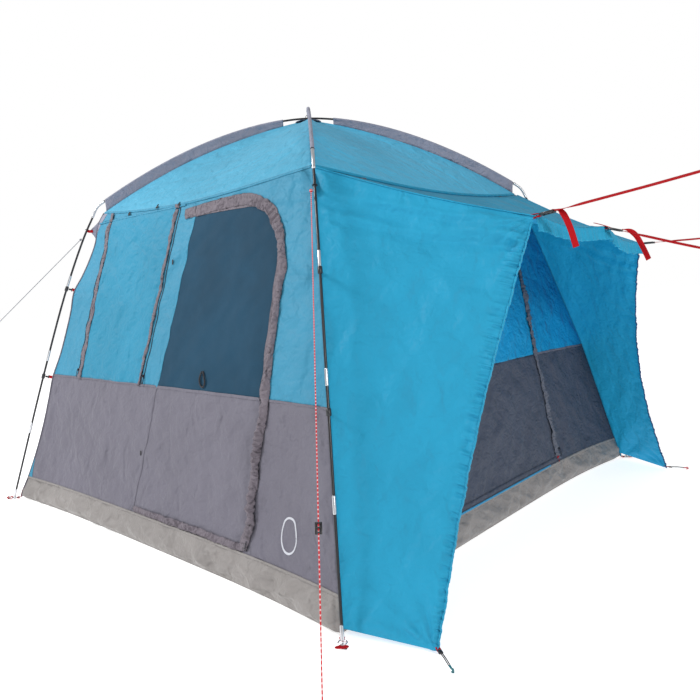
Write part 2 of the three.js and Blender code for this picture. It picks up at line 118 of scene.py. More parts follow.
def rays(u, v, centre, count, reach, seed):
    """Folds that fan out from a pulled point and fade with the distance from it."""
    du, dv = u - centre[0], v - centre[1]
    far = np.hypot(du, dv)
    turn = np.arctan2(dv, du)
    fan = noise(turn * count / math.pi, far / reach * 0.7, seed)
    return fan * np.exp(-far / reach) * np.minimum(far / 0.03, 1)


def crumple(u, v, size, seed):
    """The small dents all over thin cloth."""
    large = noise(u / size, v / (1.3 * size), seed)
    small = noise(u / (0.45 * size), v / (0.5 * size), seed + 1)
    return large + 0.5 * small + 0.4 * creases(u, v, 35, 0.9 * size, 3 * size, seed + 2)


def fade(x, low, high):
    """0 below low, 1 above high, smooth between."""
    t = np.clip((np.asarray(x, float) - low) / (high - low), 0, 1)
    return t * t * (3 - 2 * t)


def unit(v):
    return np.asarray(v, float) / np.linalg.norm(v)


# ---- Meshes ----
def at(points):
    return np.asarray(points, float) + SHIFT


def turned(points, quarters):
    """Turns tent points about the tent's middle by quarter turns."""
    x, y, z = np.moveaxis(np.asarray(points, float), -1, 0)
    for _ in range(quarters % 4):
        x, y = -y, x
    return np.stack([x, y, z], -1)


def mesh_object(name, vertices, faces, materials, indices):
    mesh = bpy.data.meshes.new(name)
    mesh.from_pydata(at(vertices).tolist(), [], faces)
    for material in materials:
        mesh.materials.append(material)
    mesh.polygons.foreach_set("material_index", np.asarray(indices, np.int32))
    mesh.polygons.foreach_set("use_smooth", [True] * len(mesh.polygons))
    mesh.update()
    made = bpy.data.objects.new(name, mesh)
    bpy.context.scene.collection.objects.link(made)
    return made


def normals_of(points):
    normal = np.cross(np.gradient(points, axis=0), np.gradient(points, axis=1))
    return normal / np.maximum(np.linalg.norm(normal, axis=-1, keepdims=True), 1e-12)


def shell(name, patches, outer, inner=None, inside=(0, 0, 0.8), thickness=CLOTH):
    """Cloth made of patches, each a grid of tent points or (the grid, the number of its material). The outer
    face looks away from the point inside."""
    vertices, faces, indices = [], [], []
    start = 0
    for patch in patches:
        points, paint = patch if isinstance(patch, tuple) else (patch, 0)
        normal = normals_of(points)
        if ((points - np.asarray(inside, float)) * normal).sum() < 0:
            points, normal = points[:, ::-1], -normal[:, ::-1]
        m, n = points.shape[:2]
        ids = np.arange(m * n).reshape(m, n) + start
        low = ids + m * n
        face = np.stack([ids[:-1, :-1], ids[1:, :-1], ids[1:, 1:], ids[:-1, 1:]], -1).reshape(-1, 4)
        back = np.stack([low[:-1, :-1], low[:-1, 1:], low[1:, 1:], low[1:, :-1]], -1).reshape(-1, 4)
        rims = []
        for line, under, keep in ((ids[:, 0], low[:, 0], True), (ids[:, -1], low[:, -1], False),
                                  (ids[0], low[0], False), (ids[-1], low[-1], True)):
            rim = np.stack([line[:-1], under[:-1], under[1:], line[1:]], -1)
            rims.append(rim if keep else rim[:, ::-1])
        rims = np.concatenate(rims)
        vertices += [points.reshape(-1, 3), (points - thickness * normal).reshape(-1, 3)]
        faces += [face, back, rims]
        behind = paint + (len(outer) if inner else 0)
        indices += [np.full(len(face), paint), np.full(len(back), behind), np.full(len(rims), paint)]
        start += 2 * m * n
    return mesh_object(name, np.concatenate(vertices), np.concatenate(faces).tolist(),
                       list(outer) + list(inner or []), np.concatenate(indices))


def solid(name, parts, materials):
    """Closed solids in one mesh. A part is its rings of tent points, or (rings, number of its material,
    whether the last ring joins the first)."""
    vertices, faces, indices = [], [], []
    start = 0
    for part in parts:
        rings, paint, joined = part if isinstance(part, tuple) else (part, 0, False)
        m, n = rings.shape[:2]
        ids = np.arange(m * n).reshape(m, n) + start
        ahead = np.roll(ids, -1, axis=0) if joined else ids[1:]
        here = ids if joined else ids[:-1]
        quads = np.stack([here, np.roll(here, -1, axis=1), np.roll(ahead, -1, axis=1), ahead], -1).reshape(
            -1, 4)
        skin = quads.tolist() + ([] if joined else [ids[0][::-1].tolist(), ids[-1].tolist()])
        vertices.append(rings.reshape(-1, 3))
        faces += skin
        indices += [paint] * len(skin)
        start += m * n
    return mesh_object(name, np.concatenate(vertices), faces, materials, indices)


def rings_along(path, section, up=(0, 0, 1), scales=None):
    """Carries a section of (side, top) offsets along a path of tent points; top leans towards up."""
    path, section = np.asarray(path, float), np.asarray(section, float)
    tangent = np.gradient(path, axis=0)
    tangent /= np.maximum(np.linalg.norm(tangent, axis=1, keepdims=True), 1e-12)
    side = np.cross(tangent, np.broadcast_to(np.asarray(up, float), path.shape))
    side /= np.maximum(np.linalg.norm(side, axis=1, keepdims=True), 1e-12)
    top = np.cross(side, tangent)
    scales = np.ones(len(path)) if scales is None else np.asarray(scales, float)
    return (path[:, None] + scales[:, None, None] * (side[:, None] * section[None, :, :1]
                                                      + top[:, None] * section[None, :, 1:]))


def circle(radius, sides=12):
    turns = 2 * math.pi * np.arange(sides) / sides
    return np.stack([radius * np.cos(turns), radius * np.sin(turns)], -1)


def strap_section(width, thickness):
    """The section of flat webbing, with thin edges and two soft ribs."""
    w, t = width / 2, thickness / 2
    top = [(w, 0), (0.94 * w, t), (0.7 * w, 1.15 * t), (0, t), (-0.7 * w, 1.15 * t), (-0.94 * w, t)]
    return np.array(top + [(-x, -y) for x, y in top])


def rounded(width, height, bevel):
    """A rectangle with its corners rounded off."""
    w, h = width / 2, height / 2
    out = []
    for turn, (x, y) in enumerate(((w, h), (-w, h), (-w, -h), (w, -h))):
        cx, cy = x - math.copysign(bevel, x), y - math.copysign(bevel, y)
        for share in (0, 0.5, 1):
            angle = math.pi / 2 * (turn + share)
            out.append((cx + bevel * math.cos(angle), cy + bevel * math.sin(angle)))
    return np.array(out)


def block(centre, way, size, up=(0, 0, 1), bevel=0.0012):
    """A moulded block: size is (length along way, width, height)."""
    way = unit(way)
    ends = np.array([-0.5 * size[0], -0.5 * size[0] + bevel, 0.5 * size[0] - bevel, 0.5 * size[0]])
    shrink = 1 - 2 * bevel / min(size[1], size[2]) * 0.7
    return rings_along(np.asarray(centre, float) + ends[:, None] * way, rounded(size[1], size[2], bevel),
                       up, [shrink, 1, 1, shrink])


def ring(centre, axis, radius, wire, sides=28, stretch=1.0):
    """A ring of wire round an axis; stretch lengthens it along its second direction."""
    axis = unit(axis)
    first = unit(np.cross(axis, (0.31, 0.17, 0.93) if abs(axis[2]) < 0.9 else (1, 0, 0)))
    second = np.cross(axis, first)
    turns = 2 * math.pi * np.arange(sides) / sides
    out = np.cos(turns)[:, None] * first + stretch * np.sin(turns)[:, None] * second
    middle = np.asarray(centre, float) + radius * out
    spots = 2 * math.pi * np.arange(10) / 10
    return (middle[:, None] + wire * (np.cos(spots)[None, :, None] * out[:, None]
                                      + np.sin(spots)[None, :, None] * axis[None, None]))


def smooth_path(points, count):
    """A smooth curve of count points through the points given, as even along it as they allow."""
    points = np.asarray(points, float)
    if len(points) == 2:
        return points[0] + np.linspace(0, 1, count)[:, None] * (points[1] - points[0])
    steps = np.concatenate([[0], np.cumsum(np.sqrt(np.linalg.norm(np.diff(points, axis=0), axis=1)))])
    ends = np.array([2 * points[0] - points[1], *points, 2 * points[-1] - points[-2]])
    knots = np.array([steps[0] - steps[1], *steps, 2 * steps[-1] - steps[-2]])
    out = []
    for t in np.linspace(0, steps[-1] - 1e-9, 8 * count):
        i = int(np.searchsorted(steps, t, side="right"))
        p, k = ends[i - 1:i + 3], knots[i - 1:i + 3]
        a = [((k[j + 1] - t) * p[j] + (t - k[j]) * p[j + 1]) / (k[j + 1] - k[j]) for j in range(3)]
        b = [((k[j + 2] - t) * a[j] + (t - k[j]) * a[j + 1]) / (k[j + 2] - k[j]) for j in range(2)]
        out.append(((k[2] - t) * b[0] + (t - k[1]) * b[1]) / (k[2] - k[1]))
    out = np.array(out)
    run = np.concatenate([[0], np.cumsum(np.linalg.norm(np.diff(out, axis=0), axis=1))])
    even = np.linspace(0, run[-1], count)
    return np.stack([np.interp(even, run, out[:, i]) for i in range(out.shape[1])], -1)


def length_of(path):
    return float(np.linalg.norm(np.diff(np.asarray(path, float), axis=0), axis=1).sum())


def place(piece, body="tent", nodes=()):
    """Hangs a piece on its body, and hides the CAD nodes that it stands for."""
    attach(piece, body)
    if nodes:
        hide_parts(*nodes)
    return piece


def sheet(name, patches, outer, inner=None, inside=(0, 0, 0.8), thickness=CLOTH, body="tent", nodes=()):
    """Cloth on its body."""
    piece = place(shell(name, patches, outer, inner, inside, thickness), body, nodes)


def tube(name, material, *course):
    """A piece of the tent in one material: a section carried along a path, as rings_along takes them."""
    return place(solid(name, [rings_along(*course)], [material]))


# ---- Materials ----
def srgb(red, green, blue):
    """The linear colour of an sRGB one of 0 to 255."""
    return (tuple((c / 3294.6 if c <= 10.3 else ((c / 255 + 0.055) / 1.055) ** 2.4)
                  for c in (red, green, blue)) + (1,))


def start_material(name, roughness, metallic=0.0):
    material = bpy.data.materials.new(name)
    material.use_nodes = True
    tree = material.node_tree
    shader = tree.nodes["Principled BSDF"]
    shader.inputs["Roughness"].default_value = roughness
    shader.inputs["Metallic"].default_value = metallic
    place_of = tree.nodes.new("ShaderNodeTexCoord").outputs["Object"]
    return material, tree, shader, place_of


def scaled_place(tree, place_of, scale, turn=(0, 0, 0)):
    mapping = tree.nodes.new("ShaderNodeMapping")
    mapping.inputs["Scale"].default_value = scale
    mapping.inputs["Rotation"].default_value = [math.radians(a) for a in turn]
    tree.links.new(place_of, mapping.inputs["Vector"])
    return mapping.outputs["Vector"]


def noise_node(tree, vector, scale, detail=4.0, roughness=0.5, kind="FBM"):
    node = tree.nodes.new("ShaderNodeTexNoise")
    node.noise_type = kind
    node.inputs["Scale"].default_value = scale
    node.inputs["Detail"].default_value = detail
    node.inputs["Roughness"].default_value = roughness
    tree.links.new(vector, node.inputs["Vector"])
    return node.outputs["Fac"]


def mixed(tree, factor, first, second):
    """Mixes two colours, or two outputs, by a factor."""
    node = tree.nodes.new("ShaderNodeMix")
    node.data_type = "RGBA"
    tree.links.new(factor, node.inputs["Factor"])
    for socket, value in ((node.inputs["A"], first), (node.inputs["B"], second)):
        if isinstance(value, bpy.types.NodeSocket):
            tree.links.new(value, socket)
        else:
            socket.default_value = value
    return node.outputs["Result"]


def ramp(tree, factor, low, high):
    node = tree.nodes.new("ShaderNodeMapRange")
    node.interpolation_type = "SMOOTHSTEP"
    node.inputs["From Min"].default_value = low
    node.inputs["From Max"].default_value = high
    tree.links.new(factor, node.inputs["Value"])
    return node.outputs["Result"]


def bump(tree, height, strength, distance, under=None):
    node = tree.nodes.new("ShaderNodeBump")
    node.inputs["Strength"].default_value = strength
    node.inputs["Distance"].default_value = distance
    tree.links.new(height, node.inputs["Height"])
    if under is not None:
        tree.links.new(under, node.inputs["Normal"])
    return node.outputs["Normal"]


def wave_node(tree, vector, scale, direction):
    node = tree.nodes.new("ShaderNodeTexWave")
    node.bands_direction = direction
    node.inputs["Scale"].default_value = scale
    tree.links.new(vector, node.inputs["Vector"])
    return node.outputs["Fac"]


def tinted(color, share):
    return tuple(min(c * share, 1.0) for c in color[:3]) + (1,)


def facet_node(tree, where, stretch, scale):
    """Flat facets between sharp creases, as in thin cloth that has been folded small."""
    bent = tree.nodes.new("ShaderNodeVectorMath")
    bent.operation = "ADD"
    wander = noise_node(tree, where, 0.8 * scale, 3, 0.5)
    tree.links.new(scaled_place(tree, where, stretch, (14, -22, 9)), bent.inputs[0])
    tree.links.new(mixed(tree, wander, (0, 0, 0, 1), (1.1 / scale, 0.8 / scale, 1.4 / scale, 1)),
                   bent.inputs[1])
    cells = tree.nodes.new("ShaderNodeTexVoronoi")
    cells.feature = "DISTANCE_TO_EDGE"
    cells.inputs["Scale"].default_value = scale
    tree.links.new(bent.outputs["Vector"], cells.inputs["Vector"])
    return ramp(tree, cells.outputs["Distance"], 0.0, 0.32)


def cloth_material(name, color, roughness=0.62, crinkle=0.5, spread=0.06, thread=0.5, glow=None,
                   specular=0.22):
    """Thin woven cloth: cloudy colour with painted highlights along crease lines, small crinkles and a fine
    plain weave. glow is painted light, an emission that stands in for the daylight that comes through it."""
    material, tree, shader, where = start_material(name, roughness)
    clouds = ramp(tree, noise_node(tree, where, 2.3, 5, 0.6), 0.3, 0.7)
    # Painted highlight: thin crease lines are painted lighter than the cloth.
    crease_highlight = ramp(tree, noise_node(tree, where, 9, 6, 0.6, "RIDGED_MULTIFRACTAL"), 0.9, 1.9)
    ground = mixed(tree, clouds, tinted(color, 1 - spread), tinted(color, 1 + spread))
    tree.links.new(mixed(tree, crease_highlight, ground, tinted(color, 1 + 2.2 * spread)), shader.inputs["Base Color"])
    dents = noise_node(tree, where, 11, 5, 0.5)
    facets = facet_node(tree, where, (1, 1, 0.62), 8.5)
    fine = facet_node(tree, where, (1, 1, 1.5), 21)
    warp = wave_node(tree, where, 150, "Z")
    weft = wave_node(tree, scaled_place(tree, where, (1, 1, 0)), 150, "DIAGONAL")
    normal = bump(tree, dents, 1.0, 0.030 * crinkle)
    normal = bump(tree, facets, 1.0, 0.010 * crinkle, normal)
    normal = bump(tree, fine, 1.0, 0.0028 * crinkle, normal)
    normal = bump(tree, mixed(tree, warp, weft, (1, 1, 1, 1)), thread, 0.00012, normal)
    tree.links.new(normal, shader.inputs["Normal"])
    shader.inputs["Sheen Weight"].default_value = 0.03
    shader.inputs["Specular IOR Level"].default_value = specular
    # Painted light: an emission makes the cloth glow as if lit through from behind.
    if glow:
        shader.inputs["Emission Color"].default_value = glow
        shader.inputs["Emission Strength"].default_value = 1.0
    return material


def mesh_material(name, color):
    """Fine netting, with darker and lighter patches painted on as the shade and light where it sags."""
    material, tree, shader, where = start_material(name, 0.8)
    # Painted shade and light: random patches, darker and lighter, stand for the net's sags.
    clouds = ramp(tree, noise_node(tree, where, 3.1, 4, 0.6), 0.3, 0.7)
    holes = tree.nodes.new("ShaderNodeTexVoronoi")
    holes.inputs["Scale"].default_value = 520
    tree.links.new(where, holes.inputs["Vector"])
    net = ramp(tree, holes.outputs["Distance"], 0.15, 0.5)
    ground = mixed(tree, clouds, tinted(color, 0.86), tinted(color, 1.12))
    tree.links.new(mixed(tree, net, tinted(color, 0.62), ground), shader.inputs["Base Color"])
    normal = bump(tree, noise_node(tree, where, 9, 5, 0.5), 0.35, 0.01)
    tree.links.new(bump(tree, net, 0.4, 0.0002, normal), shader.inputs["Normal"])
    shader.inputs["Specular IOR Level"].default_value = 0.25
    return material


def webbing_material(name, color):
    """Ribbed woven tape."""
    material, tree, shader, where = start_material(name, 0.7)
    rib = wave_node(tree, where, 210, "DIAGONAL")
    clouds = noise_node(tree, where, 30, 4, 0.6)
    ground = mixed(tree, clouds, tinted(color, 0.82), tinted(color, 1.15))
    tree.links.new(mixed(tree, rib, tinted(color, 0.72), ground), shader.inputs["Base Color"])
    tree.links.new(bump(tree, rib, 0.6, 0.0004), shader.inputs["Normal"])
    shader.inputs["Specular IOR Level"].default_value = 0.15
    return material


def cord_material(name, color, fleck, share=0.5):
    """Braided cord with flecks of a second colour."""
    material, tree, shader, where = start_material(name, 0.75)
    flecks = ramp(tree, wave_node(tree, scaled_place(tree, where, (0, 0, 1)), 36, "Z"), share - 0.04,
                  share + 0.04)
    braid = wave_node(tree, where, 260, "DIAGONAL")
    tree.links.new(mixed(tree, flecks, color, fleck), shader.inputs["Base Color"])
    tree.links.new(bump(tree, braid, 0.7, 0.0004), shader.inputs["Normal"])
    return material


def plastic_material(name, color):
    """Moulded plastic with a fine satin grain and scuffs."""
    material, tree, shader, where = start_material(name, 0.42)
    scuffs = noise_node(tree, where, 140, 5, 0.6)
    tree.links.new(mixed(tree, scuffs, tinted(color, 0.8), tinted(color, 1.3)), shader.inputs["Base Color"])
    tree.links.new(bump(tree, noise_node(tree, where, 900, 2), 0.25, 0.0002), shader.inputs["Normal"])
    shader.inputs["Coat Weight"].default_value = 0.1
    return material


def metal_material(name, color, roughness=0.28):
    """Drawn metal with fine lengthwise scratches."""
    material, tree, shader, where = start_material(name, roughness, 0.9)
    stretched = scaled_place(tree, where, (1, 1, 0.08))
    scratches = noise_node(tree, stretched, 700, 3, 0.6)
    tree.links.new(mixed(tree, scratches, tinted(color, 0.85), tinted(color, 1.1)),
                   shader.inputs["Base Color"])
    rough = ramp(tree, scratches, 0, 1)
    tree.links.new(bump(tree, rough, 0.2, 0.0002), shader.inputs["Normal"])
    return material


def pole_material(name, color):
    """A glass-fibre pole: satin, with faint lengthwise fibres."""
    material, tree, shader, where = start_material(name, 0.34)
    fibres = noise_node(tree, scaled_place(tree, where, (1, 1, 0.05)), 600, 3, 0.6)
    tree.links.new(mixed(tree, fibres, tinted(color, 0.75), tinted(color, 1.6)),
                   shader.inputs["Base Color"])
    tree.links.new(bump(tree, fibres, 0.15, 0.0002), shader.inputs["Normal"])
    shader.inputs["Coat Weight"].default_value = 0.1
    return material


wall_cloth = cloth_material("wall_cloth", srgb(56, 131, 161))
wall_inner = cloth_material("wall_inner", srgb(52, 118, 152))
roof_cloth = cloth_material("roof_cloth", srgb(72, 158, 190), roughness=0.54, specular=0.28, crinkle=0.4)
roof_shaded = cloth_material("roof_shaded", srgb(70, 172, 210), roughness=0.55, crinkle=0.4)
awning_cloth = cloth_material("awning_cloth", srgb(28, 138, 174), crinkle=0.36)
# Painted light: the awning's inner face glows, standing in for light that comes through the cloth.
awning_inner = cloth_material("awning_inner", srgb(36, 136, 178), glow=(0.003, 0.105, 0.175, 1))
cover_cloth = cloth_material("cover_cloth", srgb(40, 127, 158))
lower_cloth = cloth_material("lower_cloth", srgb(102, 100, 111), spread=0.05)
lower_inner = cloth_material("lower_inner", srgb(98, 97, 108))
vehicle_cloth = cloth_material("vehicle_cloth", srgb(9, 134, 183), crinkle=0.7)
# Painted shade: the grey lower cloth of the wall under the awning, made darker for the shade there.
vehicle_lower_shaded = cloth_material("vehicle_lower_shaded", srgb(66, 72, 86), crinkle=0.7)
# Painted shade: the flap cloth on the wall under the awning, made darker for the shade there.
vehicle_flap_shaded = cloth_material("vehicle_flap_shaded", srgb(92, 95, 106), crinkle=0.7)
flap_cloth = cloth_material("flap_cloth", srgb(108, 101, 109), crinkle=1.3)
sleeve_cloth = cloth_material("sleeve_cloth", srgb(134, 136, 152), crinkle=0.6)
tray_sheet = cloth_material("tray_sheet", srgb(134, 130, 128), roughness=0.5, spread=0.08, thread=0.8,
                            crinkle=0.6)
piping = cloth_material("piping", srgb(60, 140, 180), crinkle=0.2)
# Painted shade: the navy of the far side's rolled edge stands for the shade on that side.
shaded_edge_cloth = cloth_material("shaded_edge_cloth", srgb(8, 62, 108), crinkle=0.3)
mark_print = cloth_material("mark_print", srgb(190, 192, 200), crinkle=0.1, spread=0.02)
window_mesh = mesh_material("window_mesh", srgb(20, 61, 84))
red_webbing = webbing_material("red_webbing", srgb(176, 4, 18))
black_plastic = plastic_material("black_plastic", srgb(28, 29, 33))
red_plastic = plastic_material("red_plastic", srgb(190, 24, 38))
hook_plastic = plastic_material("hook_plastic", srgb(35, 102, 110))
black_cord = cord_material("black_cord", srgb(24, 24, 28), srgb(44, 44, 50))
red_cord = cord_material("red_cord", srgb(196, 20, 34), srgb(228, 178, 178), 0.72)
grey_cord = cord_material("grey_cord", srgb(150, 150, 156), srgb(110, 110, 118))
pole_finish = pole_material("pole_finish", srgb(20, 20, 24))
silver = metal_material("silver", srgb(206, 208, 212))
zip_metal = metal_material("zip_metal", srgb(60, 60, 66), 0.4)


# ---- The tent's surfaces ----
def arch_z(r):
    return APEX_Z - (APEX_Z - ELBOW_Z) * (np.abs(r) / ELBOW_R) ** ARCH_POWER


def seam_z(r):
    """Height of the seams between roof panels, which hang from the sleeves under the poles."""
    r = np.abs(r)
    return arch_z(r) - 0.060 * (1 - np.exp(-r / 0.25)) - 0.013 * np.exp(-r / 0.08)


FREE_CORNER = smooth_path([(0, 1.2955), (0.033, 1.292), (0.133, 1.259), (0.30, 1.2105), (0.45, 1.1735),
                           (0.60, 1.142), (0.721, 1.118), (0.85, 1.079), (1.0, 1.042), (1.1, 1.020),
                           (1.208, 1.0006), (1.30, 0.960), (1.388, 0.9263), (1.484, 0.8966),
                           (1.524, 0.8900), (1.60, 0.8740), (1.6579, 0.8485), (1.70, 0.830)], 300)
PULLED_CORNER = smooth_path([(0, 1.302), (0.05, 1.2905), (0.13, 1.272), (0.30, 1.2325), (0.50, 1.186),
                             (0.73, 1.131), (0.90, 1.083), (1.10, 1.025), (1.30, 0.967), (1.40, 0.937),
                             (1.50, 0.904), (1.60, 0.870), (1.6579, 0.8485), (1.70, 0.832)], 300)
MIDDLES = ((1.262, 0.225), (1.228, 0.2045), (1.262, 0.225), (1.262, 0.225))  # a wall's (depth, lean)


def corner_half(z, k=0):
    """Half the body's width at corner k. The two free corners bow in between the clips that tie them to the
    legs, and the awning pulls the other two straight."""
    corner = PULLED_CORNER if k in (1, 2) else FREE_CORNER
    return np.interp(z, corner[:, 0], corner[:, 1])


def left_edge(side):
    return lambda z: -corner_half(z, side)


def right_edge(side):
    return lambda z: corner_half(z, (side + 1) % 4)


def edge_half(u, z, side):
    """Half the body's width at the corner that u leans to."""
    return np.where(np.asarray(u) > 0, corner_half(z, (side + 1) % 4), corner_half(z, side))


def eave_z(u):
    t = np.clip(np.abs(u) / EAVE_HALF, 0, 1)
    return seam_z(EAVE_HALF * math.sqrt(2)) - EAVE_DIP * (1 - t * t)


def depth(u, z, side):
    """How far a wall stands from the tent's middle, before its folds."""
    start, lean = MIDDLES[side]
    middle = start - lean * z
    edge = edge_half(u, z, side)
    return middle + (edge - middle) * np.clip(np.abs(u) / edge, 0, 1) ** 4


def ripple(u, z, side):
    """How far the wall's cloth stands out of its plane: billows, pulled folds and crumples."""
    seed = 20 * side + 3
    edge = edge_half(u, z, side)
    soft = 0.0085 * noise(u / 0.6, z / 0.5, seed) + 0.0040 * folds(u, z, 76, 0.15, 0.8, seed + 1)
    soft += 0.0035 * folds(u, z, -40, 0.08, 0.5, seed + 2) + 0.0030 * folds(u, z, 38, 0.06, 0.5, seed + 3)
    soft += 0.0022 * creases(u, z, -32, 0.11, 0.6, seed + 4)
    pulls = sum(0.013 * rays(u, z, (way * corner, height), 9, 0.22, seed + 5 + i)
                for i, (way, corner, height) in enumerate((
                    (-1, 1.118, 0.721), (1, 1.118, 0.721), (-1, 1.0, 1.208), (1, 1.0, 1.208),
                    (-1, 0.90, 1.52), (1, 0.90, 1.52), (-1, 1.25, 0.14), (1, 1.25, 0.14))))
    small = 0.0026 * crumple(u, z, 0.10, seed + 14)
    lower = 0.0022 * crumple(u, z, 0.06, seed + 17) * (1 - fade(z, SPLIT_Z - 0.05, SPLIT_Z))
    if side == VEHICLE:
        lower = (lower + 0.0045 * crumple(u, z, 0.11, seed + 20)
                 + 0.0055 * creases(u, z, 52, 0.10, 0.4, seed + 23))
    hold = fade(edge - np.abs(u), 0, 0.06) * fade(eave_z(u) - z, 0, 0.05) * fade(z, 0.125, 0.20)
    return (soft + pulls + small + lower) * hold


def on_wall(u, z, side, out=0.0):
    """Tent points on a wall's outer face, or out from it."""
    u, z = np.broadcast_arrays(np.asarray(u, float), np.asarray(z, float))
    return turned(np.stack([u, -depth(u, z, side) - ripple(u, z, side) - out, z], -1), side)


def between(left, right, low, high, step=0.012):
    """A grid of u and z between left and right edges, at most functions of z, and low and high ones, of u."""
    left, right = (f if callable(f) else (lambda z, f=f: f + 0 * z) for f in (left, right))
    low, high = (f if callable(f) else (lambda u, f=f: f + 0 * u) for f in (low, high))
    some_z = 0.8
    middle = (left(some_z) + right(some_z)) / 2
    m = max(int(abs(high(middle) - low(middle)) / step), 2)
    n = max(int(abs(right(some_z) - left(some_z)) / step), 2)
    b, a = np.meshgrid(np.linspace(0, 1, m + 1), np.linspace(0, 1, n + 1), indexing="ij")
    z = low(middle) + (high(middle) - low(middle)) * b
    for _ in range(5):
        u = left(z) + (right(z) - left(z)) * a
        z = low(u) + (high(u) - low(u)) * b
    return u, z


def line(first, second):
    """The u of a straight line between two (u, z) points, as a function of z."""
    return lambda z: first[0] + (second[0] - first[0]) * (z - first[1]) / (second[1] - first[1])


hinge = line((-0.127, DOOR_BOTTOM), (0.112, DOOR_TOP))
window_left = line((-0.800, WINDOW_LOW), (-0.695, WINDOW_HIGH))
window_right = line((-0.192, WINDOW_LOW), (-0.040, WINDOW_HIGH))


def wall_sheet(side, *bounds, step=0.012, out=0.0):
    return on_wall(*between(*bounds, step=step), side, out)


def gathers(run, v, pitch, seed):
    """Sharp puckers across a strip, 0 or more: run goes along it in metres and v across it from -1 to 1."""
    long = noise(run / pitch + 0.30 * v, 0.5 * v, seed)
    short = noise(run / (0.5 * pitch) - 0.4 * v, 0.8 * v, seed + 7)
    uneven = 1 + 0.4 * noise(run / 0.13, 0.3 * v, seed + 9)
    return np.maximum(1.0 + 1.5 * long + 0.8 * short, 0) * uneven


def along_strip(path, count, columns):
    """A strip's centreline, the unit vectors across it, the run along it and v from -1 to 1 across it."""
    centre = smooth_path(path, count)
    tangent = np.gradient(centre, axis=0)
    tangent /= np.linalg.norm(tangent, axis=1, keepdims=True)
    aside = np.stack([-tangent[:, 1], tangent[:, 0]], -1)
    run = np.linspace(0, length_of(centre), count)[:, None]
    return centre[:, None], aside[:, None], run, np.linspace(-1, 1, columns)[None, :]


def ribbon(name, path, width, material, side=FRONT, body="tent", rise=0.004, base=0.0015, ruche=0.0,
           pitch=0.022, step=0.006, seed=1, wave=0.0):
    """A strip of cloth sewn along (u, z) points on a wall, crowned by rise and gathered by ruche."""
    centre, aside, run, v = along_strip(path, max(int(length_of(path) / step), 8), 7)
    half = width / 2 * (1 + wave * noise(run / (1.6 * pitch), 0.4 * np.sign(v), seed + 1))
    spot = centre + aside * (half * v)[..., None]
    out = base + rise * (1 - v ** 2) + gathers(run, v, pitch, seed) * ruche
    points = on_wall(spot[..., 0], spot[..., 1], side, np.maximum(out, base))
    piece = place(shell(name, [points], [material]), body)
    return piece


# ---- Camera, floor and light ----
CAMERA_SPOT, CAMERA_TARGET = (2.733, -2.781, 1.170), (1.121, -0.988, 0.9275)
CAMERA_ROLL = math.radians(-2.97)
CAMERA_LENS = 33.52
FLOOR_REACH, FLOOR_Z = 40, -0.0015
ROOM_LIGHT, ROOM_SEEN = 0.46, 1.0  # how strongly the white room lights the tent, and how bright it shows


def make_camera():
    spot, target = Vector(at(CAMERA_SPOT)), Vector(at(CAMERA_TARGET))
    back = (spot - target).normalized()
    level = Vector((0, 0, 1)).cross(back).normalized()
    up = back.cross(level)
    right = math.cos(CAMERA_ROLL) * level + math.sin(CAMERA_ROLL) * up
    up = -math.sin(CAMERA_ROLL) * level + math.cos(CAMERA_ROLL) * up
    camera = bpy.data.objects.new("camera", bpy.data.cameras.new("camera"))
    camera.data.lens = CAMERA_LENS
    camera.data.sensor_width = 36
    camera.data.clip_end = 200
    camera.matrix_world = Matrix.Translation(spot) @ Matrix((right, up, back)).transposed().to_4x4()
    bpy.context.scene.collection.objects.link(camera)
    bpy.context.scene.camera = camera


def make_floor():
    floor_finish, tree, shader, where = start_material("floor_finish", 0.9)
    grain = noise_node(tree, where, 1.5, 4)
    tree.links.new(mixed(tree, grain, (0.84, 0.84, 0.84, 1), (0.88, 0.88, 0.88, 1)),
                   shader.inputs["Base Color"])
    shader.inputs["Specular IOR Level"].default_value = 0.1
    shader.inputs["Emission Color"].default_value = (1, 1, 1, 1)
    shader.inputs["Emission Strength"].default_value = 0.64
    rim = [(x, y, FLOOR_Z) for x, y in circle(FLOOR_REACH, 48).tolist()]
    mesh = bpy.data.meshes.new("floor")
    mesh.from_pydata(rim, [], [list(range(len(rim)))])
    mesh.materials.append(floor_finish)
    floor = bpy.data.objects.new("floor", mesh)
    bpy.context.scene.collection.objects.link(floor)


def make_light(name, spot, target, size, power):
    lamp = bpy.data.lights.new(name, "AREA")
    lamp.shape = "DISK"
    lamp.size = size
    lamp.energy = power
    light = bpy.data.objects.new(name, lamp)
    light.location = Vector(spot)
    light.rotation_euler = (Vector(target) - Vector(spot)).to_track_quat("-Z", "Y").to_euler()
    bpy.context.scene.collection.objects.link(light)


def make_lights():
    world = bpy.data.worlds.new("studio")
    world.use_nodes = True
    tree = world.node_tree
    glow = tree.nodes["Background"]
    glow.inputs["Strength"].default_value = ROOM_LIGHT
    seen = tree.nodes.new("ShaderNodeBackground")
    seen.inputs["Strength"].default_value = ROOM_SEEN
    for background in (glow, seen):
        background.inputs["Color"].default_value = (1, 1, 1, 1)
    switch = tree.nodes.new("ShaderNodeMixShader")
    tree.links.new(tree.nodes.new("ShaderNodeLightPath").outputs["Is Camera Ray"], switch.inputs["Fac"])
    tree.links.new(glow.outputs["Background"], switch.inputs[1])
    tree.links.new(seen.outputs["Background"], switch.inputs[2])
    tree.links.new(switch.outputs["Shader"], tree.nodes["World Output"].inputs["Surface"])
    bpy.context.scene.world = world
    bpy.context.scene.view_settings.view_transform = "Standard"
    make_light("key", spot=(-4.5, -5.5, 6.0), target=(0, 0, 0.9), size=1.6, power=560)
    make_light("fill", spot=(6.5, -3.0, 3.6), target=(0.6, 0, 0.8), size=2.0, power=190)


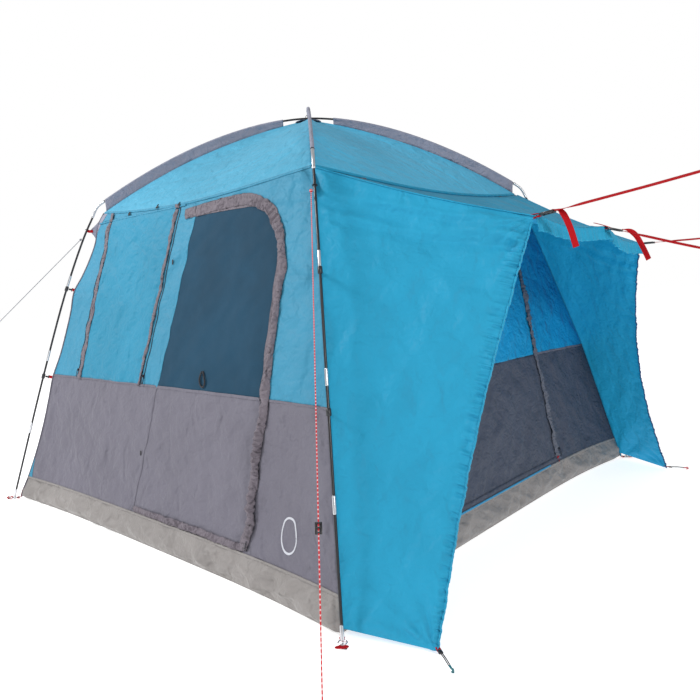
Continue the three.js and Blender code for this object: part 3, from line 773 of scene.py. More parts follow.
# ---- Cords and straps ----
STRAPS = {  # the hem point, then the webbing's centreline from its buckle on
    "front": ((1.664, -0.555, 1.380),
              ((1.738, -0.560, 1.390), (2.020, -0.560, 1.429), (2.300, -0.560, 1.468))),
    "middle": ((1.702, 0.000, 1.351),
               ((1.778, 0.000, 1.329), (1.960, 0.000, 1.271), (2.150, 0.000, 1.211))),
    "rear": ((1.657, 0.555, 1.294),
             ((1.733, 0.560, 1.295), (1.880, 0.560, 1.296), (2.030, 0.560, 1.297))),
}
TAILS = {  # the way that each loose end hangs, from its strap's start
    "front": ((0.006, 0.003, 0.003), (0.020, 0.012, -0.010), (0.038, 0.028, -0.060),
              (0.054, 0.042, -0.130)),
    "middle": ((0.012, 0.008, 0.004), (0.034, 0.026, -0.014), (0.056, 0.046, -0.062),
               (0.076, 0.066, -0.120)),
    "rear": None,
}
GUYLINES = {
    "right": ((0.916, -0.938, 1.545), (1.926, -2.028, 0.014)),
    "left": ((-0.952, -0.952, 1.512), (-1.360, -1.360, 0.998)),
}
ACROSS = np.array([0.0, 1.0, 0.0])


def strap_loop(route):
    """The sewn loop at a strap's far end."""
    end, before = np.array(route[-1]), np.array(route[-2])
    along = unit(end - before)
    up = -np.cross(ACROSS, along)
    turns = 2 * math.pi * (np.arange(13) + 0.6) / 13.2
    return [end + along * (0.030 * (1 - math.cos(t)) + 0.006) - up * 0.009 * math.sin(t) for t in turns]


def make_strap(name, hem, route, tail):
    hem, start = np.array(hem), np.array(route[0])
    points = [*route, *strap_loop(route)]
    path = smooth_path(points, 90)
    way = unit(path[5] - path[0])
    flat = -np.cross(ACROSS, way)
    run = np.linspace(0, length_of(path), 90)
    turn = math.radians(-28 if name == "front" else -18) * fade(run, 0.0, 0.10)
    turn = turn * (1 - fade(run, length_of(route) - 0.12, length_of(route) - 0.01))
    tangent = np.gradient(path, axis=0)
    flats = np.cos(turn)[:, None] * flat + np.sin(turn)[:, None] * ACROSS
    loop_part = run > length_of(route) - 0.005
    flats[loop_part] = np.cross(tangent[loop_part], ACROSS)
    strap = solid("webbing_" + name, [rings_along(path, strap_section(WEBBING_WIDTH, WEBBING_THICKNESS),
                                                  flats)], [red_webbing])
    place(strap, "tent", ["strap_" + name])
    stitch = np.array(route[-1])
    way = unit(stitch - np.array(route[-2]))
    bar = solid("stitching_" + name, [
        block(stitch - way * (0.008 + 0.012 * i), ACROSS, (0.022, 0.002, 0.0032), bevel=0.0006)
        for i in range(3)], [black_cord])
    place(bar)
    make_buckle(name, hem, start, tail)


def make_buckle(name, hem, start, tail):
    """The black ladder buckle between the hem's red patch and the strap, and the strap's loose tail."""
    way = unit(start - hem)
    up = -np.cross(ACROSS, way)
    middle = hem + way * 0.043
    parts = [block(middle + ACROSS * side * 0.0155, way, (0.052, 0.006, 0.009), up) for side in (-1, 1)]
    parts += [block(middle + way * out, ACROSS, (0.030, 0.0055, 0.008), up)
              for out in (-0.024, -0.006, 0.010, 0.024)]
    place(solid("ladder_buckle_" + name, parts, [black_plastic]), "tent", ["buckle_" + name])
    patch_path = smooth_path([hem - way * 0.050 + up * 0.010, hem - way * 0.014 + up * 0.008,
                              hem + way * 0.020 + up * 0.004], 14)
    under = smooth_path([hem - way * 0.038 - up * 0.006, hem + way * 0.002 - up * 0.005,
                         hem + way * 0.020], 14)
    place(solid("hem_patch_" + name, [
        rings_along(patch_path, strap_section(WEBBING_WIDTH + 0.002, WEBBING_THICKNESS), up),
        rings_along(under, strap_section(WEBBING_WIDTH + 0.002, WEBBING_THICKNESS), up)], [red_webbing]))
    if tail:
        path = smooth_path([start - way * 0.010 + up * 0.006, *(start + np.array(p) for p in tail)], 40)
        turn = fade(np.linspace(0, 1, 40), 0.0, 0.3)[:, None]
        facing = up * (1 - turn) + np.array((0.664, -0.746, 0.10)) * turn
        piece = solid("tail_" + name, [
            rings_along(path, strap_section(0.023, 0.0016), facing)], [red_webbing])
        place(piece)


def make_guyline(name, start, end, finish):
    start, end = np.array(start), np.array(end)
    path = smooth_path([start, end], 60)
    way = unit(end - start)
    knots = [(ring(spot, way, 0.0042, 0.0024, 14), 0, True) for spot in
             (start + way * 0.006, start + way * 0.011, end - way * 0.012, end - way * 0.017)]
    cord = solid("cord_" + name, [rings_along(path, circle(0.0019, 10))], [finish])
    place(cord, "tent", ["guyline_" + name])
    knot = solid("knots_" + name, knots, [finish])
    place(knot)


def make_runner():
    """The plastic runner that sets the right guyline's length."""
    start, end = (np.array(p) for p in GUYLINES["right"])
    way = unit(end - start)
    aside = unit(np.cross(way, (0, 0, 1)))
    middle = start + (end - start) * RUNNER_SHARE
    parts = [(ring(middle + way * out, way, 0.0048, 0.0020, 18), 0, True) for out in (-0.013, 0, 0.013)]
    parts += [block(middle + aside * side * 0.0062, way, (0.034, 0.0034, 0.0070), aside)
              for side in (-1, 1)]
    place(solid("line_runner", parts, [black_plastic]), "runner", ["guyline_runner"])


def make_cords():
    for name, (hem, route) in STRAPS.items():
        make_strap(name, hem, route, TAILS[name])
    make_guyline("right", *GUYLINES["right"], red_cord)
    make_guyline("left", *GUYLINES["left"], grey_cord)
    make_runner()


# ---- Walls ----
def tray_foot(side, share):
    """The foot of the tray's wall on one side, with share running from -1 at its left end to 1."""
    u = share * edge_half(share, 0.01, side)
    return on_wall(u, 0.004, side, -0.0125 + 0.012 * (u / 1.30) ** 6)


def tray_bottom(u):
    """The tray's wall ends here; it rises to the floor's corners."""
    return 0.002 + 0.016 * (np.abs(u) / 1.29) ** 14


def make_tray():
    """The bathtub floor: four upstands with their seams, and the sheet between their feet."""
    for side, name in enumerate(SIDES):
        u, z = between(left_edge(side), right_edge(side), tray_bottom, TRAY_TOP, step=0.009)
        tuck = 0.012 * (1 - fade(z, 0, 0.035)) * (1 - (np.abs(u) / 1.30) ** 6)
        dents = 0.0035 * crumple(u, 2 * z, 0.10, 70 + side) + 0.014 * folds(u, z, 58, 0.07, 0.5, 80 + side)
        dents += (0.011 * creases(u, z, 10, 0.07, 0.6, 84 + side)
                  + 0.010 * creases(u, z, -24, 0.08, 0.4, 86 + side))
        belly = 0.55 + 0.9 * noise(u / 0.34, 0 * u, 88 + side)
        dents += 0.021 * belly * np.sin(math.pi * np.clip(z / TRAY_TOP, 0, 1)) ** 1.5
        hold = fade(edge_half(u, z, side) - np.abs(u), 0, 0.05) * fade(z, 0.0, 0.03)
        hold = hold * (1 - fade(z, 0.105, TRAY_TOP))
        sheet("tray_side_" + name, [on_wall(u, z, side, dents * hold - tuck)], [tray_sheet],
              nodes=["tray_upstand_" + name])
        ends = (left_edge(side)(TRAY_TOP) + 0.004, right_edge(side)(TRAY_TOP) - 0.004)
        seam = [(ends[0], TRAY_TOP), (0, TRAY_TOP), (ends[1], TRAY_TOP)]
        ribbon("tray_seam_" + name, seam, 0.012, tray_sheet, side, rise=0.0025, step=0.012, ruche=0.0006,
               seed=90)
    a, b = np.meshgrid(np.linspace(-1, 1, 81), np.linspace(-1, 1, 81), indexing="ij")
    right, back = ((a + 1) / 2)[..., None], ((b + 1) / 2)[..., None]
    spot = tray_foot(FRONT, a) * (1 - back) + tray_foot(REAR, -a) * back
    spot += tray_foot(LEFT, -b) * (1 - right) + tray_foot(VEHICLE, b) * right
    for side, way, share in ((FRONT, -1, (1 - right) * (1 - back)), (FRONT, 1, right * (1 - back)),
                             (REAR, 1, (1 - right) * back), (REAR, -1, right * back)):
        spot -= share * tray_foot(side, np.full(a.shape, float(way)))
    x, y = spot[..., 0], spot[..., 1]
    z = 0.0028 + 0.0014 * (1 + 0.6 * noise(x / 0.2, y / 0.2, 61)) + 0.016 * np.abs(a * b) ** 14
    sheet("floor_sheet", [np.stack([x, y, z], -1)], [tray_sheet], inside=(0, 0, -3),
          nodes=["tray_floor"])


def make_front_wall():
    """The cloth round the door and the window, in grey below the split and blue above it."""
    low_left = wall_sheet(FRONT, left_edge(FRONT), lambda z: hinge(z) - HANGING_GAP, LOW_EDGE, SPLIT_Z)
    low_right = wall_sheet(FRONT, DOOR_RIGHT + HANGING_GAP, right_edge(FRONT), LOW_EDGE, SPLIT_Z)
    sill = wall_sheet(FRONT, lambda z: hinge(z) - HANGING_GAP, DOOR_RIGHT + HANGING_GAP, LOW_EDGE,
                      DOOR_BOTTOM - 0.005)
    sheet("front_lower", [low_left, low_right, sill], [lower_cloth], [lower_inner],
          nodes=["front_wall_lower_left", "front_wall_lower_right"])

    strip_left = wall_sheet(FRONT, left_edge(FRONT), window_left, SPLIT_Z, WINDOW_HIGH)
    strip_middle = wall_sheet(FRONT, window_right, lambda z: hinge(z) - HANGING_GAP, SPLIT_Z, WINDOW_HIGH)
    under_window = wall_sheet(FRONT, window_left, window_right, SPLIT_Z, WINDOW_LOW + 0.002, step=0.004)
    end_u = hinge(DOOR_TOP) - HANGING_GAP
    header = wall_sheet(FRONT, left_edge(FRONT), end_u, WINDOW_HIGH, eave_z, step=0.008)
    sheet("front_upper", [strip_left, strip_middle, under_window, header, door_surround(end_u)],
          [wall_cloth], [wall_inner],
          nodes=["front_wall_upper_left", "front_wall_upper_middle", "front_wall_upper_right"])


def door_surround(end_u):
    """The wall right of the door and round its top, out to the body's corner and eave."""
    grow, reach = HANGING_GAP, DOOR_ARC + HANGING_GAP
    centre = (DOOR_RIGHT - DOOR_ARC, DOOR_TOP - DOOR_ARC)
    rise, over, flat = 26, 26, 42
    turns = np.linspace(0, math.pi / 2, rise + over + 1)
    inner = np.stack([centre[0] + reach * np.cos(turns), centre[1] + reach * np.sin(turns)], -1)
    top = np.stack([np.linspace(centre[0], end_u, flat + 1)[1:], np.full(flat, DOOR_TOP + grow)], -1)
    heights = np.linspace(SPLIT_Z, centre[1], 46)[:-1]
    inner = np.concatenate([np.stack([np.full(45, centre[0] + reach), heights], -1), inner, top])
    up = np.concatenate([heights, np.linspace(centre[1], float(eave_z(EAVE_HALF)), rise + 1)])
    side = np.stack([right_edge(FRONT)(up), up], -1)
    across = np.linspace(EAVE_HALF, end_u, over + flat + 1)[1:]
    outer = np.concatenate([side, np.stack([across, eave_z(across)], -1)])
    share = np.linspace(0, 1, 24)[:, None, None]
    spots = inner[None] * (1 - share) + outer[None] * share
    return on_wall(spots[..., 0], spots[..., 1], FRONT)


def make_window():
    """The net, the cover that hangs over it, its flaps and the two zips."""
    net = wall_sheet(FRONT, lambda z: window_left(z) - 0.012, lambda z: window_right(z) + 0.012,
                     WINDOW_LOW - 0.002, WINDOW_HIGH + 0.006, step=0.02, out=-0.006)
    sheet("window_net", [net], [window_mesh], nodes=["window_mesh"])
    u, z = between(window_left, window_right, WINDOW_LOW, WINDOW_HIGH - 0.002, step=0.009)
    slack = 0.0018 * crumple(u, z, 0.07, 101) + 0.003 * folds(u, z, 82, 0.10, 0.6, 103)
    slack += 0.003 * folds(u, z, 2, 0.05, 0.5, 104) * (1 - fade(z, 0.76, 0.83))
    aside = fade(u - window_left(z), 0.01, 0.05) * fade(window_right(z) - u, 0.01, 0.05)
    hold = fade(z, WINDOW_LOW, 0.76) * fade(WINDOW_HIGH - z, 0, 0.03) * aside
    out = 0.0025 + np.maximum(slack + 0.003, 0) * hold
    sheet("window_roll", [on_wall(u, z, FRONT, out)], [cover_cloth], [wall_inner],
          nodes=["window_cover"], body="cover")
    for name, width, foot, head in (("left", 0.036, -0.803, -0.699), ("right", 0.021, -0.192, -0.036)):
        path = [(foot, 0.727), ((foot + head) / 2 + 0.004, WINDOW_MIDDLE), (head, 1.580)]
        ribbon("window_flap_" + name, path, width, flap_cloth, FRONT, "cover", rise=0.003, base=0.0035,
               ruche=0.0022, pitch=0.022, step=0.003, seed=110, wave=0.20)
    ribbon("window_flap_top_left", [(-0.699, 1.586), (-0.693, 1.632)], 0.036, flap_cloth, rise=0.004,
           base=0.006, ruche=0.002, step=0.004, seed=112)
    ribbon("window_flap_top_right", [(-0.036, 1.586), (-0.033, 1.602)], 0.036, flap_cloth, rise=0.004,
           base=0.006, ruche=0.001, step=0.002, seed=113)
    ribbon("window_head", [(-0.855, 1.590), (-0.36, 1.591), (0.035, 1.592)], 0.010, wall_cloth, rise=0.002,
           ruche=0.001, step=0.006)
    for name, edge, way in (("left", window_left, -1), ("right", window_right, 1)):
        path = [(edge(z) + way * WINDOW_ZIP_ASIDE, z) for z in (WINDOW_LOW, WINDOW_MIDDLE, WINDOW_HIGH)]
        ribbon("window_zip_" + name, path, 0.005, zip_metal, rise=0.0012, step=0.006, ruche=0.0003,
               pitch=0.004)
        make_slider("window_" + name, edge(WINDOW_SLIDER_Z) + way * WINDOW_ZIP_ASIDE, WINDOW_SLIDER_Z,
                    FRONT)


def make_slider(name, u, z, side):
    """A zip slider and its pull, on the wall's face."""
    pull = 0.034
    spot = on_wall(u, z, side, 0.006)
    out = unit(on_wall(u, z, side, 0.05) - spot)
    up = unit(on_wall(u, z + 0.03, side, 0.006) - spot)
    parts = [block(spot, up, (0.014, 0.009, 0.005), out),
             block(spot + out * 0.0035 + up * 0.002, up, (0.007, 0.003, 0.003), out, 0.0006)]
    hang = spot + out * 0.0052 - up * (pull / 2 + 0.002)
    parts.append(block(hang, up, (pull, 0.0052, 0.0018), out, 0.0006))
    parts.append((ring(hang - up * pull / 2, out, 0.0034, 0.0011, 16, 1.5), 0, True))
    place(solid("slider_" + name + "_pull", parts, [zip_metal]), "slider_" + name, ["zip_slider_" + name])


def door_right(z):
    over = np.clip(np.asarray(z, float) - (DOOR_TOP - DOOR_ARC), 0, DOOR_ARC)
    return DOOR_RIGHT - DOOR_ARC + np.sqrt(np.maximum(DOOR_ARC ** 2 - over ** 2, 0))


def make_door():
    """The door's lower cloth and net, the seams on it and at its hinge, and its slider."""
    low = wall_sheet(FRONT, hinge, DOOR_RIGHT, DOOR_BOTTOM, SPLIT_Z, step=0.010)
    sheet("door_lower", [low], [lower_cloth], [lower_inner],
          nodes=["door_panel"], body="front_door")
    straight = np.linspace(SPLIT_Z, DOOR_TOP - DOOR_ARC, 46)[:-1]
    turns = np.linspace(0, math.pi / 2, 40)
    z = np.concatenate([straight, DOOR_TOP - DOOR_ARC + DOOR_ARC * np.sin(turns)])[:, None]
    share = np.linspace(0, 1, 60)[None, :]
    left = hinge(z) + 0.002
    net = on_wall(left + (door_right(z) - left) * share, z, FRONT)
    tape = np.linspace(-0.004, 0.016, 9)[None, :]
    top = np.linspace(float(hinge(DOOR_TOP)) + 0.004, DOOR_RIGHT - DOOR_ARC, 40)[:, None]
    lean = fade(DOOR_TOP - z, 0, DOOR_ARC) * math.pi / 2
    side_tape = on_wall(door_right(z) + tape * np.sin(lean), z + tape * np.cos(lean), FRONT, 0.0022)
    top_tape = on_wall(top, DOOR_TOP + tape, FRONT, 0.0022)
    sheet("door_net", [(net, 0), (side_tape, 1), (top_tape, 1)], [window_mesh, flap_cloth],
          nodes=["door_window"], body="front_door")
    path = [(hinge(SPLIT_Z) + 0.004, SPLIT_Z), (0.35, SPLIT_Z), (DOOR_RIGHT - 0.004, SPLIT_Z)]
    ribbon("door_split", path, 0.014, lower_cloth, FRONT, "front_door", rise=0.0008, base=0.0013, step=0.01)
    make_door_flap()
    for name, ends, cloth in (("low", (DOOR_BOTTOM, SPLIT_Z), lower_cloth),
                              ("high", (SPLIT_Z, DOOR_TOP), wall_cloth)):
        hinge_line = [(hinge(z) - 0.004, z) for z in (ends[0], sum(ends) / 2, ends[1])]
        ribbon("hinge_seam_" + name, hinge_line, 0.020, cloth, rise=0.0006, base=0.0013, ruche=0.0002,
               seed=121)
    make_slider("door", 0.749, 0.195, FRONT)
    loop = smooth_path([(0.325, 0.820), (0.312, 0.792), (0.318, 0.762), (0.338, 0.752), (0.352, 0.772),
                        (0.345, 0.805), (0.336, 0.822)], 40)
    path = on_wall(loop[:, 0], loop[:, 1], FRONT, 0.006)
    place(solid("door_pull_loop", [rings_along(path, circle(0.0035, 8), (0, -1, 0.2))], [black_cord]),
          "front_door")


DOOR_FLAP = [(0.128, 1.552), (0.330, 1.563), (0.512, 1.560), (0.650, 1.502), (0.735, 1.395),
             (0.768, 1.270), (0.769, 1.043), (0.766, 0.720), (0.748, 0.575), (0.746, 0.341),
             (0.742, 0.210), (0.712, 0.158), (0.60, 0.150), (0.33, 0.152), (0.05, 0.150), (-0.110, 0.150)]

DOOR_FLAP_WIDTH = 0.052


def make_door_flap():
    """The storm flap sewn to the door's free edge; it lies over the zip and onto the wall."""
    centre, aside, run, v = along_strip(DOOR_FLAP, int(length_of(DOOR_FLAP) / 0.0028), 13)
    u0, z0 = centre[..., 0], centre[..., 1]
    upright = fade(u0, 0.70, 0.74) * fade(z0, 0.16, 0.20)
    heavy = 0.45 + 0.85 * upright * (1 - fade(z0, 0.60, 0.80))
    heavy = heavy + 0.55 * fade(z0, 1.30, 1.42) * fade(u0, 0.5, 0.6)
    heavy = heavy + 0.45 * (1 - fade(z0, 0.16, 0.20)) * fade(u0, -0.1, 0.2)
    floor_part = 1 - fade(z0, 0.150, 0.165)
    waist = fade(z0, 0.72, 0.95) * (1 - fade(z0, 1.16, 1.34)) * fade(u0, 0.70, 0.74)
    narrow = 1 - 0.45 * floor_part - 0.30 * waist
    half = DOOR_FLAP_WIDTH / 2 * narrow * (1 + 0.16 * heavy * noise(run / 0.030, 0.4 * np.sign(v), 131))
    spot = centre + aside * (half * v)[..., None]
    crown = (1 - v ** 2) * (0.004 + 0.010 * upright)
    out = 0.003 + crown + 0.0068 * heavy * gathers(run, v, 0.017, 130) * (0.45 + 0.55 * (1 - v ** 2))
    points = on_wall(spot[..., 0], spot[..., 1], FRONT, np.maximum(out, 0.002))
    sheet("door_storm_flap", [points], [flap_cloth],
          body="front_door")
    ribbon("door_flap_end", [(0.040, 1.546), (0.122, 1.552)], 0.050, flap_cloth, rise=0.004, ruche=0.0014,
           step=0.004, seed=133)


def make_seams():
    """Flat seams between the wall's cloths, along the eave and at the corners."""
    for side, name in enumerate(SIDES):
        left, right = left_edge(side)(SPLIT_Z) + 0.003, right_edge(side)(SPLIT_Z) - 0.003
        runs = {FRONT: ((left, hinge(SPLIT_Z) - 0.010), (DOOR_RIGHT + 0.046, right)),
                VEHICLE: ((left, -0.625), (0.625, right))}.get(side, ((left, right),))
        for i, (a, b) in enumerate(runs):
            ribbon(f"split_seam_{name}_{i}", [(a, SPLIT_Z), ((a + b) / 2, SPLIT_Z), (b, SPLIT_Z)], 0.011,
                   lower_cloth, side, rise=0.0008, base=0.0013, step=0.012, ruche=0.0002)
        reach = EAVE_HALF - 0.006
        eave = [(u, float(eave_z(u)) - 0.004) for u in np.linspace(-reach, reach, 15)]
        ribbon("eave_seam_" + name, eave, 0.012, awning_cloth if side == VEHICLE else wall_cloth, side,
               rise=0.002, step=0.010, ruche=0.0006, pitch=0.03, seed=140)
    for k, name in enumerate(CORNERS):
        heights = np.linspace(0.012, 1.650, 120)
        half = corner_half(heights, k) + 0.001
        path = turned(np.stack([-half, -half, heights], -1), k)
        wobble = 1 + 0.25 * noise(heights / 0.02, 0 * heights + k, 150)
        tube("corner_seam_" + name, lower_cloth if k in (0, 3) else awning_cloth, path, circle(0.0042, 8),
             (1, 0, 0), wobble)


def make_corner_patches():
    """Reinforcing patches at the free corners: grey under the elbow, blue above the tray."""
    for side, way in ((FRONT, -1), (LEFT, -1), (LEFT, 1), (REAR, 1)):
        edge = left_edge(side) if way < 0 else right_edge(side)
        for name, tip, base, cloth in (("high", (0.893, 1.530), (0.785, 1.645), sleeve_cloth),
                                       ("low", (1.222, 0.245), (1.218, 0.132), wall_cloth)):
            slope = line(tip, base)
            z = np.linspace(min(tip[1], base[1]), max(tip[1], base[1]), 24)[:, None]
            share = np.linspace(0, 1, 9)[None, :]
            u = edge(z) * (1 - share) + way * np.minimum(slope(z), np.abs(edge(z)) - 0.001) * share
            z = np.minimum(z + 0 * u, eave_z(u) - 0.002)
            place(shell(f"corner_patch_{name}_{side}_{'a' if way < 0 else 'b'}",
                        [on_wall(u, z, side, 0.0016)], [cloth]))
    turns = np.linspace(0.01, 2 * math.pi - 0.01, 60)[:, None]
    band = np.linspace(0.88, 1, 4)[None, :]
    spots = 0.985 + 0.046 * band * np.cos(turns), 0.259 + 0.068 * band * np.sin(turns)
    place(shell("printed_ring", [on_wall(*spots, FRONT, 0.0014)], [mark_print], thickness=0.0008))


def make_plain_walls():
    """The rear and left walls, which the photograph doesn't show."""
    for side, name in ((REAR, "rear"), (LEFT, "left")):
        low = wall_sheet(side, left_edge(side), right_edge(side), LOW_EDGE, SPLIT_Z, step=0.014)
        high = wall_sheet(side, left_edge(side), right_edge(side), SPLIT_Z, eave_z, step=0.014)
        sheet(name + "_cloth", [(low, 0), (high, 1)], [lower_cloth, wall_cloth], [lower_inner, wall_inner],
              nodes=[name + "_wall"])


def make_vehicle_wall():
    """The wall under the awning: two strips, a header with the sill, and the door between them."""
    half, high = VEHICLE_DOOR["half"] + HANGING_GAP, VEHICLE_DOOR["high"] + HANGING_GAP
    for name, left, right in (("front", left_edge(VEHICLE), -half), ("rear", half, right_edge(VEHICLE))):
        low = wall_sheet(VEHICLE, left, right, LOW_EDGE, SPLIT_Z)
        top = wall_sheet(VEHICLE, left, right, SPLIT_Z, high)
        sheet("vehicle_strip_" + name, [(low, 0), (top, 1)], [vehicle_lower_shaded, vehicle_cloth],
              [lower_inner, wall_inner], nodes=["vehicle_wall_" + name])
    header = wall_sheet(VEHICLE, left_edge(VEHICLE), right_edge(VEHICLE), high, eave_z)
    sill = wall_sheet(VEHICLE, -half, half, LOW_EDGE, VEHICLE_DOOR["low"] - 0.005, step=0.008)
    low = VEHICLE_DOOR["low"]
    lip = on_wall(*between(-half, half, low - 0.008, low + 0.012, step=0.008), VEHICLE, 0.0028)
    sheet("vehicle_header", [(header, 0), (sill, 1), (lip, 1)], [vehicle_cloth, vehicle_lower_shaded],
          [wall_inner, lower_inner], nodes=["vehicle_wall_header"])
    inner = VEHICLE_DOOR["half"]
    low = wall_sheet(VEHICLE, -inner, inner, VEHICLE_DOOR["low"], SPLIT_Z)
    top = wall_sheet(VEHICLE, -inner, inner, SPLIT_Z, VEHICLE_DOOR["high"])
    sheet("roll_door_cloth", [(low, 0), (top, 1)], [vehicle_lower_shaded, vehicle_cloth],
          [lower_inner, wall_inner], nodes=["vehicle_door"],
          body="roll_door")
    for name, way in (("front", -1), ("rear", 1)):
        path = [(way * 0.606, 0.150), (way * 0.600, 0.75), (way * 0.606, 1.30),
                (way * 0.603, float(eave_z(0.6)) - 0.012)]
        ribbon("vehicle_flap_shaded_" + name, path, 0.036, vehicle_flap_shaded, VEHICLE, rise=0.004, base=0.003,
               ruche=0.0040, pitch=0.020, step=0.003, seed=160 + way, wave=0.17)
    ribbon("sill_piping", [(-0.46, 0.134), (0, 0.134), (0.50, 0.134)], 0.010, piping, VEHICLE, rise=0.003,
           base=0.003, step=0.012)
    make_slider("vehicle_door", 0.640, 0.197, VEHICLE)
    spot = on_wall(0.600, 0.158, VEHICLE, 0.008)
    path = smooth_path([spot, spot + (0.004, 0.003, -0.02), spot + (0.002, 0.006, -0.045),
                        spot + (0.005, 0.004, -0.066)], 20)
    place(solid("sill_tab", [block(spot, (0, 1, 0), (0.022, 0.012, 0.003), (1, 0, 0.2)),
                             rings_along(path, circle(0.0013, 8), (1, 0, 0))], [red_webbing]))


# ---- Roof ----
def roof_points(s, t, side):
    """A roof panel: s runs from the apex to the eave, t from one diagonal to the other."""
    base = EAVE_HALF * s
    edge_u = EAVE_HALF * t
    edge_z = eave_z(edge_u)
    reach = -turned(on_wall(edge_u, edge_z, side), -side)[..., 1]
    out = base + (reach - EAVE_HALF) * s ** 2
    sag = 0.030 * np.sin(math.pi * s) * (1 - t * t)
    z = seam_z(base * math.sqrt(2)) - sag + (edge_z - eave_z(EAVE_HALF)) * s ** 2.2
    u = t * np.maximum(base - 0.003, 0.001)
    seed = 200 + 10 * side
    hold = fade(1 - np.abs(t), 0, 0.10) * fade(1 - s, 0, 0.05) * fade(s, 0.02, 0.2)
    dents = 0.005 * noise(u / 0.4, s / 0.3, seed) + 0.0016 * crumple(u, s, 0.11, seed + 1)
    dents += (0.006 * rays(u, s, (0.85, 1.0), 9, 0.3, seed + 5)
              + 0.006 * rays(u, s, (-0.85, 1.0), 9, 0.3, seed + 6))
    dents += 0.003 * folds(u, s, 90, 0.14, 0.8, seed + 7)
    return turned(np.stack([u, -out - 0.3 * dents * hold, z + dents * hold], -1), side)


def make_roof():
    """Four panels between the sleeves, and the patch under the crossing."""
    for side, name in enumerate(SIDES):
        s, t = np.meshgrid(np.linspace(0.03, 1, 84), np.linspace(-1, 1, 110), indexing="ij")
        sheet("roof_panel_" + name, [roof_points(s, t, side)],
              [roof_shaded if side == VEHICLE else roof_cloth], [wall_inner],
              nodes=["roof_" + name])
    turns = np.linspace(0, 2 * math.pi, 25)
    radii = np.linspace(0.004, 0.075, 8)[:, None]
    cap = np.stack([radii * np.cos(turns), radii * np.sin(turns), seam_z(radii) + 0 * turns + 0.002], -1)
    place(shell("apex_patch", [cap], [sleeve_cloth], inside=(0, 0, 1)))


def diagonal(k):
    """Unit vectors out along a corner's diagonal and across it."""
    turn = (k - 1.5) * math.pi / 2
    return np.array([math.cos(turn), math.sin(turn), 0]), np.array([-math.sin(turn), math.cos(turn), 0])


def arch_lift(k, r):
    return CROSSING * np.cos(math.pi / 2 * r / ELBOW_TOP_R) if k % 2 else 0.0 * r


def make_sleeves():
    """Cloth channels that wrap the arch poles and hold up the roof's seams."""
    for k, name in enumerate(CORNERS):
        out, across = diagonal(k)
        r = np.linspace(0.145, 1.192, 130)[:, None]
        top = arch_z(r) + arch_lift(k, r)
        drop = top - (seam_z(r) - 0.001)
        turns = np.linspace(-0.15, 1.15, 15) * math.pi
        w = np.concatenate([[0.0016, 0.0020, 0.0032, 0.0058], SLEEVE_R * np.cos(turns),
                            [-0.0058, -0.0032, -0.0020, -0.0016]])[None, :]
        share = np.concatenate([[1, 0.75, 0.5, 0.26], np.zeros(15), [0.26, 0.5, 0.75, 1]])[None, :]
        arc = SLEEVE_R * np.concatenate([np.zeros(4), np.sin(turns), np.zeros(4)])[None, :]
        height = top + np.where(share > 0, -share * drop, arc)
        flank = np.sin(math.pi * np.clip(share, 0, 1))
        dents = flank * (0.0035 * noise(r / 0.06, share * 2 + np.sign(w), 300 + k)
                         + 0.002 * noise(r / 0.02, share * 3, 310 + k))
        side = w + dents
        points = r[..., None] * out + side[..., None] * across + height[..., None] * np.array([0, 0, 1.0])
        middle = out * 0.7 + np.array([0, 0, float(arch_z(0.7)) - 0.2])
        sheet("sleeve_band_" + name, [points], [sleeve_cloth], inside=middle, thickness=0.0010,
              nodes=["sleeve_" + name])


# ---- Poles and their fittings ----
LEG = [(1.875, 0.014), (1.640, 0.720), (1.464, 1.211), (1.333, 1.516), (1.272, 1.632)]  # (r, z) along a leg
LEG_LINE = smooth_path(LEG, 160)
FERRULES = (0.425, 0.846, 1.273)


def leg_r(z):
    return np.interp(z, LEG_LINE[:, 1], LEG_LINE[:, 0])


def on_diagonal(k, r, z, aside=0.0):
    out, across = diagonal(k)
    r, z, aside = np.broadcast_arrays(np.asarray(r, float), np.asarray(z, float), np.asarray(aside, float))
    return r[..., None] * out + aside[..., None] * across + z[..., None] * np.array([0, 0, 1.0])


